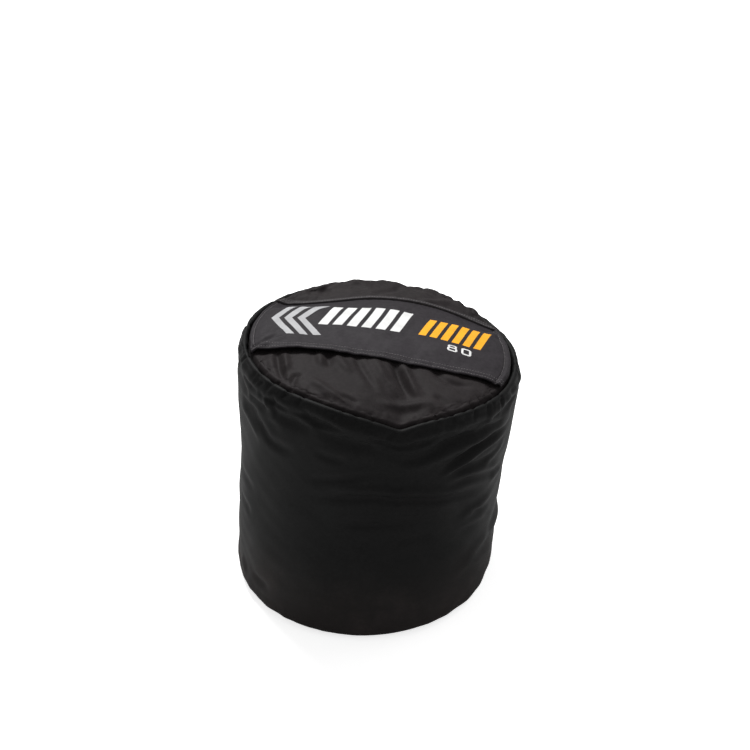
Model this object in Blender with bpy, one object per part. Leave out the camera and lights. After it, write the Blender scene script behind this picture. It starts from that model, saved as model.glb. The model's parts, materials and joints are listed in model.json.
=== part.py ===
"""Sandbag trainer: a drum of heavy woven cloth full of sand, its zipped mouth under a wide flap.

Metres, +Z up. The origin is the centre of the flat base. The flap runs along X and its free edge
faces -Y. Every piece is drawn on an upright bag and then settled, because the sand has slumped
towards +X: each higher ring of the bag is shifted and turned further that way.
"""

import math

import bmesh
import bpy
from mathutils import Matrix, Vector

# Driving dimensions of the bag; each bulge is how far the wall stands out past the rim seam
SEAM_RADIUS = 0.200
RIM_HEIGHT = 0.391
WIDE_BULGE = 0.006
MID_BULGE = 0.0005
LOW_BULGE = 0.0005
BASE_CORNER = 0.019
SHOULDER_HEIGHT = 0.022
WALL_THICKNESS = 0.0024
BASE_THICKNESS = 0.0024
PANEL_THICKNESS = 0.0024

# Slump of the full bag
TOP_SHIFT = 0.027
TOP_TILT = math.radians(5.65)

# Crown of the top, and the blunt V in which the front of the rim sags
CROWN = 0.0221
FRONT_CROWN = 0.0156
FRONT_DIP = 0.0220
FRONT_DIP_MIDDLE = 0.045
FRONT_DIP_WIDTH = 0.040
FRONT_DIP_TIP = 0.030

# Clearances between pieces that touch
GAP = 0.0003
RUNNING_GAP = 0.0004
SEAM_GAP = 0.0009

# Heights at which the wall has its three bulges, as shares of the rim height
LOW_GIRTH_SHARE = 0.20
MID_GIRTH_SHARE = 0.55
WIDE_GIRTH_SHARE = 0.90

# Seams
RIM_BINDING_WIDTH = 0.010
RIM_BINDING_THICKNESS = 0.003
BASE_BINDING_WIDTH = 0.014
BASE_BINDING_THICKNESS = 0.0022
WALL_STRIP_WIDTH = 0.016
WALL_STRIP_THICKNESS = 0.0012
WALL_STRIP_FOOT_SHARE = 0.07

# Flap, its seam at the back and its hook-and-loop fastening
FLAP_FRONT = -0.072
FLAP_BACK = 0.095
FLAP_END_INSET = 0.006
FLAP_THICKNESS = 0.0022
FLAP_SEAM_LIFT = 0.0004
FLAP_HEM_WIDTH = 0.014
FLAP_HEM_EXTRA = 0.0012
FLAP_HEM_STEP = 0.002
FLAP_SEAM_WIDTH = 0.012
FLAP_SEAM_THICKNESS = 0.0018
HOOK_WIDTH = 0.038
HOOK_END_INSET = 0.030
HOOK_INSET = 0.017
HOOK_THICKNESS = 0.0017
LOOP_THICKNESS = 0.0017

# Zip in the mouth
ZIP_Y = 0.030
MOUTH_HALF_WIDTH = 0.018
TAPE_TUCK = 0.008
TAPE_THICKNESS = 0.0012
CHAIN_WIDTH = 0.0030
CHAIN_HEIGHT = 0.0022
CHAIN_END_ROOM = 0.001
BARE_TAPE_LENGTH = 0.0495
STOP_LENGTH = 0.004
STOP_RISE = 0.0012
SLIDER_LENGTH = 0.014
SLIDER_PLATE = 0.0010
SLIDER_FLANGE = 0.0011
SLIDER_NOSE = 0.0022
BAIL_LENGTH = 0.009
BAIL_WIDTH = 0.0024
BAIL_THICKNESS = 0.0009
BAIL_ROOM = 0.0021
PULL_LENGTH = 0.028
PULL_WIDTH = 0.009
PULL_THICKNESS = 0.0012
PULL_EYE_LENGTH = 0.0054
PULL_EYE_WIDTH = 0.0044
PULL_CORNER = 0.0022

# Liner and sand
LINER_ROOM = 0.0010
LINER_THICKNESS = 0.0012
BASIN_DEPTH = 0.016
BASIN_RADIUS = 0.060
NECK_ROOM = 0.001
NECK_FOOT_RADIUS = 0.022
NECK_WAIST_RADIUS = 0.009
NECK_TOP_RADIUS = 0.016
NECK_WAIST_SHARE = 0.5
TIE_THICKNESS = 0.0028
TIE_HEIGHT = 0.005

# Facets
SEGMENTS = 48
CORNER_STEPS = 4
SHOULDER_STEPS = 3
PANEL_COLUMNS = 40
PANEL_ROWS = 6
STRIP_COLUMNS = 24
FLAP_COLUMNS = 24
FLAP_ROWS = 7
TIE_SEGMENTS = 16
SMOOTH_ANGLE = math.radians(35)

# Rings of the liner's top, as shares of the way from its neck to the wall
LINER_RING_SHARES = (0.06, 0.16, 0.32, 0.55, 0.80)

# Share of a panel's full width at which its pointed corner is cut off
PANEL_END_SHARE = 0.985


def clear_scene():
    """Removes everything that the file opened with."""
    for obj in list(bpy.data.objects):
        bpy.data.objects.remove(obj, do_unlink=True)


def make_material(name, colour, roughness, metallic=0.0):
    """A plain surface of one colour."""
    material = bpy.data.materials.new(name)
    material.use_nodes = True
    shader = material.node_tree.nodes["Principled BSDF"]
    shader.inputs["Base Color"].default_value = (*colour, 1.0)
    shader.inputs["Roughness"].default_value = roughness
    shader.inputs["Metallic"].default_value = metallic
    return material


def arc_radius(rise, half_span):
    """Radius of the circular arc that rises so far over a half span."""
    return (half_span**2 + rise**2) / (2 * rise)


def arc_drop(offset, radius):
    """How far such an arc has fallen at an offset from its middle."""
    return radius - math.sqrt(radius**2 - offset**2)


# Sizes that follow from the driving ones; FACET_SHARE is how far in a ring's flat sides lie
WIDE_RADIUS = SEAM_RADIUS + WIDE_BULGE
MID_RADIUS = SEAM_RADIUS + MID_BULGE
LOW_RADIUS = SEAM_RADIUS + LOW_BULGE
CROWN_RADIUS = arc_radius(CROWN, SEAM_RADIUS)
FRONT_CROWN_RADIUS = arc_radius(FRONT_CROWN, SEAM_RADIUS)
FACET_SHARE = math.cos(math.pi / SEGMENTS)
PANEL_RADIUS = (SEAM_RADIUS - WALL_THICKNESS) * FACET_SHARE - GAP
BASE_RADIUS = LOW_RADIUS - BASE_CORNER
LINER_FLOOR = BASE_THICKNESS + GAP + BASE_BINDING_THICKNESS + GAP
TAPE_TOP = -(PANEL_THICKNESS + GAP)
CHAIN_LOW = TAPE_TOP + GAP
CHAIN_TOP = CHAIN_LOW + CHAIN_HEIGHT
PLATE_LOW = CHAIN_TOP + RUNNING_GAP
PLATE_TOP = PLATE_LOW + SLIDER_PLATE
BAIL_TOP = PLATE_TOP + BAIL_ROOM + BAIL_THICKNESS
TAPE_REACH = MOUTH_HALF_WIDTH + TAPE_TUCK
TAPE_END_RADIUS = (PANEL_RADIUS - RIM_BINDING_WIDTH) * FACET_SHARE - GAP
TAPE_HALF_LENGTH = math.sqrt(TAPE_END_RADIUS**2 - (ZIP_Y + TAPE_REACH) ** 2)
CHAIN_HALF_LENGTH = TAPE_HALF_LENGTH - BARE_TAPE_LENGTH
SLIDER_REST = CHAIN_HALF_LENGTH - CHAIN_END_ROOM - SLIDER_LENGTH / 2
FLAP_LIFT = max(BAIL_TOP + RUNNING_GAP, HOOK_THICKNESS + LOOP_THICKNESS + 3 * RUNNING_GAP)
FLAP_END_RADIUS = SEAM_RADIUS - FLAP_END_INSET
HOOK_HALF_LENGTH = math.sqrt(FLAP_END_RADIUS**2 - FLAP_FRONT**2) - HOOK_END_INSET
UNDER_PANEL = max(SEAM_GAP + RIM_BINDING_THICKNESS, GAP + TAPE_THICKNESS)
HEADROOM = PANEL_THICKNESS + UNDER_PANEL + LINER_ROOM
NECK_HEIGHT = BASIN_DEPTH - NECK_ROOM


def top_height(x, y):
    """Height of the top cloth's outer face on the upright bag."""
    fall = arc_drop(x, CROWN_RADIUS) + arc_drop(y, FRONT_CROWN_RADIUS)
    forward = min(max(-y / SEAM_RADIUS, 0), 1)
    aside = math.hypot(x - FRONT_DIP_MIDDLE, FRONT_DIP_TIP) - FRONT_DIP_TIP
    dip = FRONT_DIP * math.exp(-aside / FRONT_DIP_WIDTH) * forward**2
    return RIM_HEIGHT + CROWN - fall - dip


def rim_height(x, y):
    """Height of the rim seam in the direction of a point."""
    reach = math.hypot(x, y)
    return top_height(SEAM_RADIUS * x / reach, SEAM_RADIUS * y / reach)


def on_top(x, y, z):
    """The top moves as one stiff lid when the bag settles."""
    above = z - RIM_HEIGHT
    across = x * math.cos(TOP_TILT) + above * math.sin(TOP_TILT)
    height = RIM_HEIGHT - x * math.sin(TOP_TILT) + above * math.cos(TOP_TILT)
    return Vector((TOP_SHIFT + across, y, height))


def settle(x, y, z):
    """Where a point of the upright bag ends up: rings turn and shift more with their height."""
    if z >= RIM_HEIGHT:
        return on_top(x, y, z)
    share = z / RIM_HEIGHT
    turn = TOP_TILT * share
    return Vector((TOP_SHIFT * share + x * math.cos(turn), y, z - x * math.sin(turn)))


def add_solid(name, points, faces, material):
    """One closed body from settled points and their faces."""
    mesh = bpy.data.meshes.new(name)
    mesh.from_pydata([tuple(point) for point in points], [], faces)
    body = bmesh.new()
    body.from_mesh(mesh)
    bmesh.ops.recalc_face_normals(body, faces=body.faces)
    body.to_mesh(mesh)
    body.free()
    mesh.shade_smooth()
    mesh.set_sharp_from_angle(angle=SMOOTH_ANGLE)
    mesh.materials.append(material)
    obj = bpy.data.objects.new(name, mesh)
    bpy.context.scene.collection.objects.link(obj)
    return obj


def ring(radius, height, middle_y=0.0, segments=SEGMENTS):
    """Upright points round the bag; height is a function of x and y."""
    points = []
    for step in range(segments):
        angle = 2 * math.pi * step / segments
        x, y = radius * math.cos(angle), middle_y + radius * math.sin(angle)
        points.append((x, y, height(x, y)))
    return points


def pole(height, middle_y=0.0):
    """The one point on the axis that closes a turned shape."""
    return [(0, middle_y, height(0, middle_y))]


def level(value):
    """A height that is the same everywhere."""
    return lambda x, y: value


def joined_rings(first, second):
    """Faces between two rings of point numbers, either of which may be a pole."""
    count = max(len(first), len(second))
    faces = []
    for step in range(count):
        after = (step + 1) % count
        corners = [
            first[step % len(first)],
            first[after % len(first)],
            second[after % len(second)],
            second[step % len(second)],
        ]
        faces.append(list(dict.fromkeys(corners)))
    return faces


def turned(name, rings, material, closed=False):
    """A body of rings, joined in order; a closed one joins its last ring to its first."""
    points, numbers = [], []
    for each in rings:
        numbers.append(range(len(points), len(points) + len(each)))
        points += [settle(*point) for point in each]
    pairs = list(zip(numbers, numbers[1:]))
    if closed:
        pairs.append((numbers[-1], numbers[0]))
    faces = [face for first, second in pairs for face in joined_rings(first, second)]
    return add_solid(name, points, faces, material)


def plate(name, plan, columns, rows, low, high, material):
    """A sheet with thickness that follows the top; low and high are its faces' lifts off the cloth."""
    points = []
    for lift in (low, high):
        for row in range(rows + 1):
            for column in range(columns + 1):
                x, y = plan(column / columns, row / rows)
                points.append(settle(x, y, top_height(x, y) + lift(x, y)))
    wide = columns + 1
    layer = wide * (rows + 1)
    faces = []
    for row in range(rows):
        for column in range(columns):
            corner = row * wide + column
            square = [corner, corner + 1, corner + wide + 1, corner + wide]
            faces.append(square)
            faces.append([number + layer for number in reversed(square)])
    border = list(range(wide))
    border += [row * wide + columns for row in range(1, rows + 1)]
    border += [rows * wide + column for column in reversed(range(columns))]
    border += [row * wide for row in reversed(range(1, rows))]
    for here, after in zip(border, border[1:] + border[:1]):
        faces.append([here, here + layer, after + layer, after])
    return add_solid(name, points, faces, material)


def mix(low, high, share):
    """The value at a share of the way from low to high."""
    return low + (high - low) * share


def smooth(share):
    """Eases a share in and out."""
    held = min(max(share, 0), 1)
    return held * held * (3 - 2 * held)


def strip_plan(half_length, front, back):
    """A straight strip along X."""
    return lambda u, v: (mix(-half_length, half_length, u), mix(front, back, v))


def round_plan(edge, side):
    """The part of the top between a straight edge and the rim, towards side +1 or -1 of Y."""
    widest = math.sqrt(PANEL_RADIUS**2 - edge**2)
    if edge * side < 0:
        widest = PANEL_RADIUS
    reach = widest * PANEL_END_SHARE

    def plan(u, v):
        x = reach * math.sin(math.pi * (u - 0.5))
        rim = side * math.sqrt(PANEL_RADIUS**2 - x**2)
        start = min(edge * side, rim * side) * side
        return x, mix(start, rim, v)

    return plan


def wall_radius(share):
    """Outer radius of the wall at a share of its height, below the shoulder."""
    if share <= MID_GIRTH_SHARE:
        part = (share - LOW_GIRTH_SHARE) / (MID_GIRTH_SHARE - LOW_GIRTH_SHARE)
        return mix(LOW_RADIUS, MID_RADIUS, smooth(part))
    part = (share - MID_GIRTH_SHARE) / (WIDE_GIRTH_SHARE - MID_GIRTH_SHARE)
    return mix(MID_RADIUS, WIDE_RADIUS, smooth(part))


def at_share(share):
    """A height function for a share of the rim height."""
    return lambda x, y: share * rim_height(x, y)


def base_corner(inset, floor):
    """Radius and height pairs of the rounded bottom edge, set in from the outer face."""
    pairs = []
    bend = BASE_CORNER - inset
    for step in range(CORNER_STEPS + 1):
        angle = math.pi / 2 * step / CORNER_STEPS
        radius = BASE_RADIUS + bend * math.sin(angle)
        height = BASE_CORNER - bend * math.cos(angle)
        if height > floor - GAP:
            pairs.append((radius, max(height, floor)))
    return pairs


def girth_shares():
    """Heights of the wall's rings, as shares: the three girths and a ring half way between each two."""
    below = mix(LOW_GIRTH_SHARE, MID_GIRTH_SHARE, 0.5)
    above = mix(MID_GIRTH_SHARE, WIDE_GIRTH_SHARE, 0.5)
    return [LOW_GIRTH_SHARE, below, MID_GIRTH_SHARE, above, WIDE_GIRTH_SHARE]


def wall_rings(inset):
    """Rings of the wall's upright part, set in from its outer face."""
    return [ring(wall_radius(share) - inset, at_share(share)) for share in girth_shares()]


def shoulder_rings(inset):
    """Rings where the wall turns in to the rim seam."""
    rings = []
    for step in range(SHOULDER_STEPS + 1):
        angle = math.pi / 2 * step / SHOULDER_STEPS
        radius = mix(SEAM_RADIUS, WIDE_RADIUS, math.cos(angle)) - inset
        below = SHOULDER_HEIGHT * (1 - math.sin(angle))
        rings.append(ring(radius, lambda x, y, below=below: rim_height(x, y) - below))
    return rings


def make_side_wall(material):
    """The wall: one length of cloth rolled into a drum, from the base seam to the rim seam."""
    outer = [ring(radius, level(z)) for radius, z in base_corner(0, 0)]
    outer += wall_rings(0) + shoulder_rings(0)
    inner = [ring(radius, level(z)) for radius, z in base_corner(WALL_THICKNESS, 0)]
    inner += wall_rings(WALL_THICKNESS) + shoulder_rings(WALL_THICKNESS)
    return turned("side_wall", outer + inner[::-1], material, closed=True)


def make_base_panel(material):
    """The flat round panel that the bag stands on."""
    edge = BASE_RADIUS - GAP
    rings = [pole(level(0)), ring(edge, level(0)), ring(edge, level(BASE_THICKNESS))]
    rings.append(pole(level(BASE_THICKNESS)))
    return turned("base_panel", rings, material)


def make_base_seam_binding(material):
    """The tape bound over the base seam, inside the bag."""
    low, high = BASE_THICKNESS + GAP, BASE_THICKNESS + GAP + BASE_BINDING_THICKNESS
    inner = BASE_RADIUS - BASE_BINDING_WIDTH
    rings = [ring(inner, level(low)), ring(BASE_RADIUS, level(low))]
    rings += [ring(BASE_RADIUS, level(high)), ring(inner, level(high))]
    return turned("base_seam_binding", rings, material, closed=True)


def make_rim_seam_binding(material):
    """The tape bound over the rim seam, under the edges of the top panels."""
    inner = PANEL_RADIUS - RIM_BINDING_WIDTH
    high = PANEL_THICKNESS + SEAM_GAP
    low = high + RIM_BINDING_THICKNESS
    rings = []
    for radius, below in ((inner, low), (PANEL_RADIUS, low), (PANEL_RADIUS, high), (inner, high)):
        rings.append(ring(radius, lambda x, y, below=below: top_height(x, y) - below))
    return turned("rim_seam_binding", rings, material, closed=True)


def make_wall_seam_strip(material):
    """The webbing sewn over the wall's upright seam, at the back."""
    half_angle = WALL_STRIP_WIDTH / 2 / MID_RADIUS
    shares = [WALL_STRIP_FOOT_SHARE, *girth_shares()]
    points = []
    for share in shares:
        for angle in (math.pi / 2 - half_angle, math.pi / 2, math.pi / 2 + half_angle):
            for out in (GAP, GAP + WALL_STRIP_THICKNESS):
                radius = wall_radius(max(share, LOW_GIRTH_SHARE)) + out
                x, y = radius * math.cos(angle), radius * math.sin(angle)
                points.append(settle(x, y, at_share(share)(x, y)))
    loop = (0, 2, 4, 5, 3, 1)
    count = len(loop)
    last = len(points) - count
    faces = [list(reversed(loop)), [last + number for number in loop]]
    for row in range(len(shares) - 1):
        start = row * count
        for step in range(count):
            here, after = loop[step], loop[(step + 1) % count]
            faces.append([start + here, start + after, start + count + after, start + count + here])
    return add_solid("wall_seam_strip", points, faces, material)


def make_top_panels(material):
    """The two round-edged panels of the top, in front of the mouth and behind it."""
    low, high = level(-PANEL_THICKNESS), level(0)
    for name, edge, side in (
        ("top_front_panel", ZIP_Y - MOUTH_HALF_WIDTH, -1),
        ("top_back_panel", ZIP_Y + MOUTH_HALF_WIDTH, 1),
    ):
        plate(name, round_plan(edge, side), PANEL_COLUMNS, PANEL_ROWS, low, high, material)


def flap_low(x, y):
    """Lift of the flap's underside: down at its seam, clear of the zip, thicker at the hem."""
    rise = smooth((FLAP_BACK - y) / (FLAP_BACK - ZIP_Y - MOUTH_HALF_WIDTH))
    lift = mix(FLAP_SEAM_LIFT, FLAP_LIFT, rise)
    return lift - (FLAP_HEM_EXTRA if y <= FLAP_FRONT + FLAP_HEM_WIDTH + GAP else 0)


def flap_high(x, y):
    """Lift of the flap's upper face."""
    rise = smooth((FLAP_BACK - y) / (FLAP_BACK - ZIP_Y - MOUTH_HALF_WIDTH))
    return mix(FLAP_SEAM_LIFT, FLAP_LIFT, rise) + FLAP_THICKNESS


def flap_plan(u, v):
    """The flap's outline: straight front and back edges, ends that follow the rim."""
    hem_end = FLAP_FRONT + FLAP_HEM_WIDTH
    rows = [FLAP_FRONT, hem_end, hem_end + FLAP_HEM_STEP]
    spread = FLAP_ROWS - len(rows) + 1
    rows += [mix(rows[-1], FLAP_BACK, (step + 1) / spread) for step in range(spread)]
    y = rows[round(v * FLAP_ROWS)]
    half = math.sqrt(FLAP_END_RADIUS**2 - y**2)
    return mix(-half, half, u), y


def make_flap(cloth, hooks):
    """The flap and the hook strip under it, on an empty that lies on the flap's seam."""
    flap = plate("closure_flap", flap_plan, FLAP_COLUMNS, FLAP_ROWS, flap_low, flap_high, cloth)
    front = FLAP_FRONT + HOOK_INSET
    plan = strip_plan(HOOK_HALF_LENGTH, front, front + HOOK_WIDTH)
    top = FLAP_LIFT - GAP
    hook = plate("hook_strip", plan, STRIP_COLUMNS, 1, level(top - HOOK_THICKNESS), level(top), hooks)
    seam_height = top_height(0, FLAP_BACK) + FLAP_SEAM_LIFT + FLAP_THICKNESS
    hinge = add_empty("flap_lift_axis", on_top(0, FLAP_BACK, seam_height), TOP_TILT)
    for piece in (flap, hook):
        hang_from(piece, hinge)


def make_loop_strip(material):
    """The loop strip on the front panel, under the hook strip."""
    front = FLAP_FRONT + HOOK_INSET
    plan = strip_plan(HOOK_HALF_LENGTH, front, front + HOOK_WIDTH)
    plate("loop_strip", plan, STRIP_COLUMNS, 1, level(GAP), level(GAP + LOOP_THICKNESS), material)


def make_flap_seam_binding(material):
    """The folded edge of the top, sewn down behind the flap's seam."""
    start = FLAP_BACK + RUNNING_GAP
    back = start + FLAP_SEAM_WIDTH

    def plan(u, v):
        y = mix(start, back, v)
        half = math.sqrt(FLAP_END_RADIUS**2 - y**2)
        return mix(-half, half, u), y

    high = level(GAP + FLAP_SEAM_THICKNESS)
    plate("flap_seam_binding", plan, STRIP_COLUMNS, 1, level(GAP), high, material)


def add_empty(name, place, tilt):
    """An empty on a joint's axis, turned with the top."""
    empty = bpy.data.objects.new(name, None)
    empty.location = place
    empty.rotation_euler = (0, tilt, 0)
    bpy.context.scene.collection.objects.link(empty)
    bpy.context.view_layer.update()
    return empty


def hang_from(piece, empty):
    """Parents a piece to an empty and leaves it where it is."""
    piece.parent = empty
    piece.matrix_parent_inverse = empty.matrix_world.inverted()


def make_zip_tapes(tape_material, chain_material):
    """A tape and a row of teeth on each side of the zip."""
    for name, side in (("front", -1), ("back", 1)):
        near, far = ZIP_Y + side * GAP / 2, ZIP_Y + side * TAPE_REACH
        plan = strip_plan(TAPE_HALF_LENGTH, min(near, far), max(near, far))
        low, high = level(TAPE_TOP - TAPE_THICKNESS), level(TAPE_TOP)
        plate(f"zip_tape_{name}", plan, STRIP_COLUMNS, 1, low, high, tape_material)
        far = near + side * CHAIN_WIDTH
        plan = strip_plan(CHAIN_HALF_LENGTH, min(near, far), max(near, far))
        low, high = level(CHAIN_LOW), level(CHAIN_TOP)
        plate(f"zip_chain_{name}", plan, STRIP_COLUMNS, 1, low, high, chain_material)


def make_zip_stops(material):
    """The stops pressed on past both ends of the teeth."""
    half = CHAIN_WIDTH + GAP / 2
    for name, side in (("left", -1), ("right", 1)):
        near = side * (CHAIN_HALF_LENGTH + GAP)
        far = near + side * STOP_LENGTH

        def plan(u, v, start=min(near, far), end=max(near, far)):
            return mix(start, end, u), mix(ZIP_Y - half, ZIP_Y + half, v)

        low, high = level(CHAIN_LOW), level(CHAIN_TOP + STOP_RISE)
        plate(f"zip_stop_{name}", plan, 2, 2, low, high, material)


def extruded(name, outline, axis, low, high, material):
    """A prism: an outline of (first, second) pairs, run along an axis from low to high."""
    places = {
        "X": lambda a, b, c: (c, a, b),
        "Y": lambda a, b, c: (a, c, b),
        "Z": lambda a, b, c: (a, b, c),
    }
    points = [places[axis](a, b, c) for c in (low, high) for a, b in outline]
    count = len(outline)
    faces = [list(range(count)), [count + number for number in range(count)]]
    for here in range(count):
        after = (here + 1) % count
        faces.append([here, after, after + count, here + count])
    return add_solid(name, points, faces, material)


def combine(base, other, operation):
    """Adds or cuts another solid with a Boolean, and hides that solid."""
    modifier = base.modifiers.new(other.name, "BOOLEAN")
    modifier.operation = operation
    modifier.object = other
    other.hide_render = True
    other.display_type = "WIRE"


def zip_middle():
    """The centre of the arc that the zip follows, in the settled bag."""
    return on_top(0, ZIP_Y, top_height(0, ZIP_Y) - CROWN_RADIUS)


def make_slider_body(material):
    """The saddle over both rows of teeth, with the bail that holds the pull; Z is off the cloth."""
    inner = CHAIN_WIDTH + GAP / 2 + RUNNING_GAP
    outer = inner + SLIDER_FLANGE
    foot = TAPE_TOP + RUNNING_GAP
    saddle = [(-outer, foot), (-inner, foot), (-inner, PLATE_LOW), (inner, PLATE_LOW)]
    saddle += [(inner, foot), (outer, foot), (outer, PLATE_TOP), (-outer, PLATE_TOP)]
    half = SLIDER_LENGTH / 2
    body = extruded("zip_slider", saddle, "X", -half, half, material)
    outside = [(-half, -outer), (half - SLIDER_NOSE, -outer), (half, -outer + SLIDER_NOSE)]
    outside += [(half, outer - SLIDER_NOSE), (half - SLIDER_NOSE, outer), (-half, outer)]
    trim = extruded("slider_outline", outside, "Z", foot - GAP, PLATE_TOP + GAP, material)
    combine(body, trim, "INTERSECT")
    far = BAIL_LENGTH / 2
    near = far - BAIL_THICKNESS
    sunk, room = PLATE_TOP - SLIDER_PLATE / 2, PLATE_TOP + BAIL_ROOM
    bridge = [(-far, sunk), (-near, sunk), (-near, room), (near, room), (near, sunk), (far, sunk)]
    bridge += [(far, room), (near, room + BAIL_THICKNESS), (-near, room + BAIL_THICKNESS), (-far, room)]
    bail = extruded("slider_bail", bridge, "Y", -BAIL_WIDTH / 2, BAIL_WIDTH / 2, material)
    combine(body, bail, "UNION")
    return [body, trim, bail]


def make_pull(material):
    """The tab whose end bar lies under the bail; Z is off the cloth and the tab points to -X."""
    bar, half = PULL_THICKNESS / 2, PULL_WIDTH / 2
    middle = PLATE_TOP + BAIL_ROOM / 2
    tip = bar - PULL_LENGTH
    outline = [(bar, -half), (bar, half), (tip + PULL_CORNER, half), (tip, half - PULL_CORNER)]
    outline += [(tip, PULL_CORNER - half), (tip + PULL_CORNER, -half)]
    tab = extruded("zip_pull", outline, "Z", middle - bar, middle + bar, material)
    eye_end = -bar - PULL_EYE_LENGTH
    side = PULL_EYE_WIDTH / 2
    eye = [(-bar, -side), (-bar, side), (eye_end, side), (eye_end, -side)]
    cutter = extruded("pull_eye", eye, "Z", middle - PULL_THICKNESS, middle + PULL_THICKNESS, material)
    combine(tab, cutter, "DIFFERENCE")
    return [tab, cutter]


def make_slider(material):
    """The slider and its pull at the zip's closed end, on an empty at the middle of the zip's arc."""
    hinge = add_empty("zip_slide_axis", zip_middle(), TOP_TILT)
    turn = math.asin(SLIDER_REST / CROWN_RADIUS)
    place = Matrix.Rotation(turn, 4, "Y") @ Matrix.Translation(Vector((0, 0, CROWN_RADIUS)))
    for piece in make_slider_body(material) + make_pull(material):
        piece.parent = hinge
        piece.matrix_local = place


def liner_height(x, y):
    """Height of the liner's top on the upright bag, with the hollow that its neck lies in."""
    away = math.hypot(x, y - ZIP_Y) / BASIN_RADIUS
    return top_height(x, y) - HEADROOM - BASIN_DEPTH * math.exp(-(away**2))


def liner_rings(reach, below):
    """Rings of a surface under the liner's top, from round its neck out to the wall."""
    rings = []
    for share in (*LINER_RING_SHARES, 1):
        radius = mix(NECK_FOOT_RADIUS, reach, share)
        middle = ZIP_Y * (1 - share)
        rings.append(ring(radius, lambda x, y: liner_height(x, y) - below, middle))
    return rings


def inside_wall(inset, floor):
    """Rings that follow the inside of the wall up to the shoulder, from a flat bottom."""
    corner = base_corner(inset, floor)
    rings = [ring(radius, level(z)) for radius, z in corner]
    return rings + wall_rings(inset)


def make_liner_body(material):
    """The inner bag: bottom and wall, open at the top."""
    inset = WALL_THICKNESS + GAP
    reach = SEAM_RADIUS - inset
    floor = LINER_FLOOR
    thick = LINER_THICKNESS
    brim = LINER_THICKNESS + GAP
    rings = [pole(level(floor))] + inside_wall(inset, floor)
    rings += [ring(reach, lambda x, y: liner_height(x, y) - brim)]
    rings += [ring(reach - thick, lambda x, y: liner_height(x, y) - brim)]
    rings += inside_wall(inset + thick, floor + thick)[::-1] + [pole(level(floor + thick))]
    return turned("liner_body", rings, material)


def neck_rings():
    """Rings of the liner's gathered neck, from its foot to its top."""
    foot = liner_height(0, ZIP_Y)
    waist = foot + NECK_HEIGHT * NECK_WAIST_SHARE
    half = TIE_HEIGHT / 2 + GAP
    pairs = [(NECK_FOOT_RADIUS, foot), (NECK_WAIST_RADIUS, waist - half)]
    pairs += [(NECK_WAIST_RADIUS, waist + half), (NECK_TOP_RADIUS, foot + NECK_HEIGHT)]
    return [ring(radius, level(z), ZIP_Y) for radius, z in pairs]


def make_liner_top(material):
    """The inner bag's top, with its neck gathered and tied in the hollow under the zip."""
    reach = SEAM_RADIUS - WALL_THICKNESS - GAP
    rings = [pole(level(liner_height(0, ZIP_Y) + NECK_HEIGHT), ZIP_Y)]
    rings += neck_rings()[::-1]
    rings += liner_rings(reach, 0)
    rings += liner_rings(reach, LINER_THICKNESS)[::-1]
    rings.append(pole(lambda x, y: liner_height(x, y) - LINER_THICKNESS, ZIP_Y))
    return turned("liner_top", rings, material)


def make_liner_tie(material):
    """The band tied round the liner's neck."""
    inner = NECK_WAIST_RADIUS + GAP
    outer = inner + TIE_THICKNESS
    waist = liner_height(0, ZIP_Y) + NECK_HEIGHT * NECK_WAIST_SHARE
    low, high = waist - TIE_HEIGHT / 2, waist + TIE_HEIGHT / 2
    corners = ((inner, low), (outer, low), (outer, high), (inner, high))
    rings = [ring(radius, level(z), ZIP_Y, TIE_SEGMENTS) for radius, z in corners]
    return turned("liner_tie", rings, material, closed=True)


def make_sand(material):
    """The sand, as one body that fills the liner."""
    inset = WALL_THICKNESS + GAP + LINER_THICKNESS + GAP
    floor = LINER_FLOOR + LINER_THICKNESS + GAP
    below = LINER_THICKNESS + GAP
    rings = [pole(level(floor))] + inside_wall(inset, floor)
    rings += liner_rings(SEAM_RADIUS - inset, below)[::-1]
    rings.append(pole(lambda x, y: liner_height(x, y) - below, ZIP_Y))
    return turned("sand_fill", rings, material)


def main():
    """Builds the bag from the sand outwards."""
    clear_scene()
    wall_cloth = make_material("wall_cloth", (0.020, 0.021, 0.020), 0.72)
    top_cloth = make_material("top_cloth", (0.034, 0.029, 0.029), 0.78)
    flap_cloth = make_material("flap_cloth", (0.047, 0.043, 0.050), 0.74)
    binding = make_material("seam_binding", (0.055, 0.050, 0.050), 0.70)
    hook_tape = make_material("hook_tape", (0.018, 0.018, 0.019), 0.85)
    loop_tape = make_material("loop_tape", (0.024, 0.024, 0.025), 0.95)
    zip_tape = make_material("zip_tape", (0.016, 0.016, 0.017), 0.80)
    zip_teeth = make_material("zip_teeth", (0.022, 0.022, 0.023), 0.35)
    zip_metal = make_material("zip_metal", (0.060, 0.060, 0.062), 0.35, 0.9)
    liner_cloth = make_material("liner_cloth", (0.42, 0.42, 0.40), 0.55)
    tie_band = make_material("tie_band", (0.03, 0.03, 0.03), 0.60)
    sand = make_material("sand", (0.47, 0.36, 0.22), 0.95)

    make_sand(sand)
    make_liner_body(liner_cloth)
    make_liner_top(liner_cloth)
    make_liner_tie(tie_band)
    make_base_panel(wall_cloth)
    make_base_seam_binding(binding)
    make_side_wall(wall_cloth)
    make_wall_seam_strip(wall_cloth)
    make_rim_seam_binding(binding)
    make_top_panels(top_cloth)
    make_zip_tapes(zip_tape, zip_teeth)
    make_zip_stops(zip_metal)
    make_slider(zip_metal)
    make_loop_strip(loop_tape)
    make_flap_seam_binding(top_cloth)
    make_flap(flap_cloth, hook_tape)


if __name__ == "__main__":
    main()
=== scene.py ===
"""Looks of the sandbag trainer: a filled cloth drum with a printed flap over its zipped mouth.

Metres, +Z up. The flap runs along X and its free edge faces -Y. Cloth is drawn on an upright bag,
in the plan of its own sheet, and then settled the way the full bag has slumped towards +X.
"""

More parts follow.
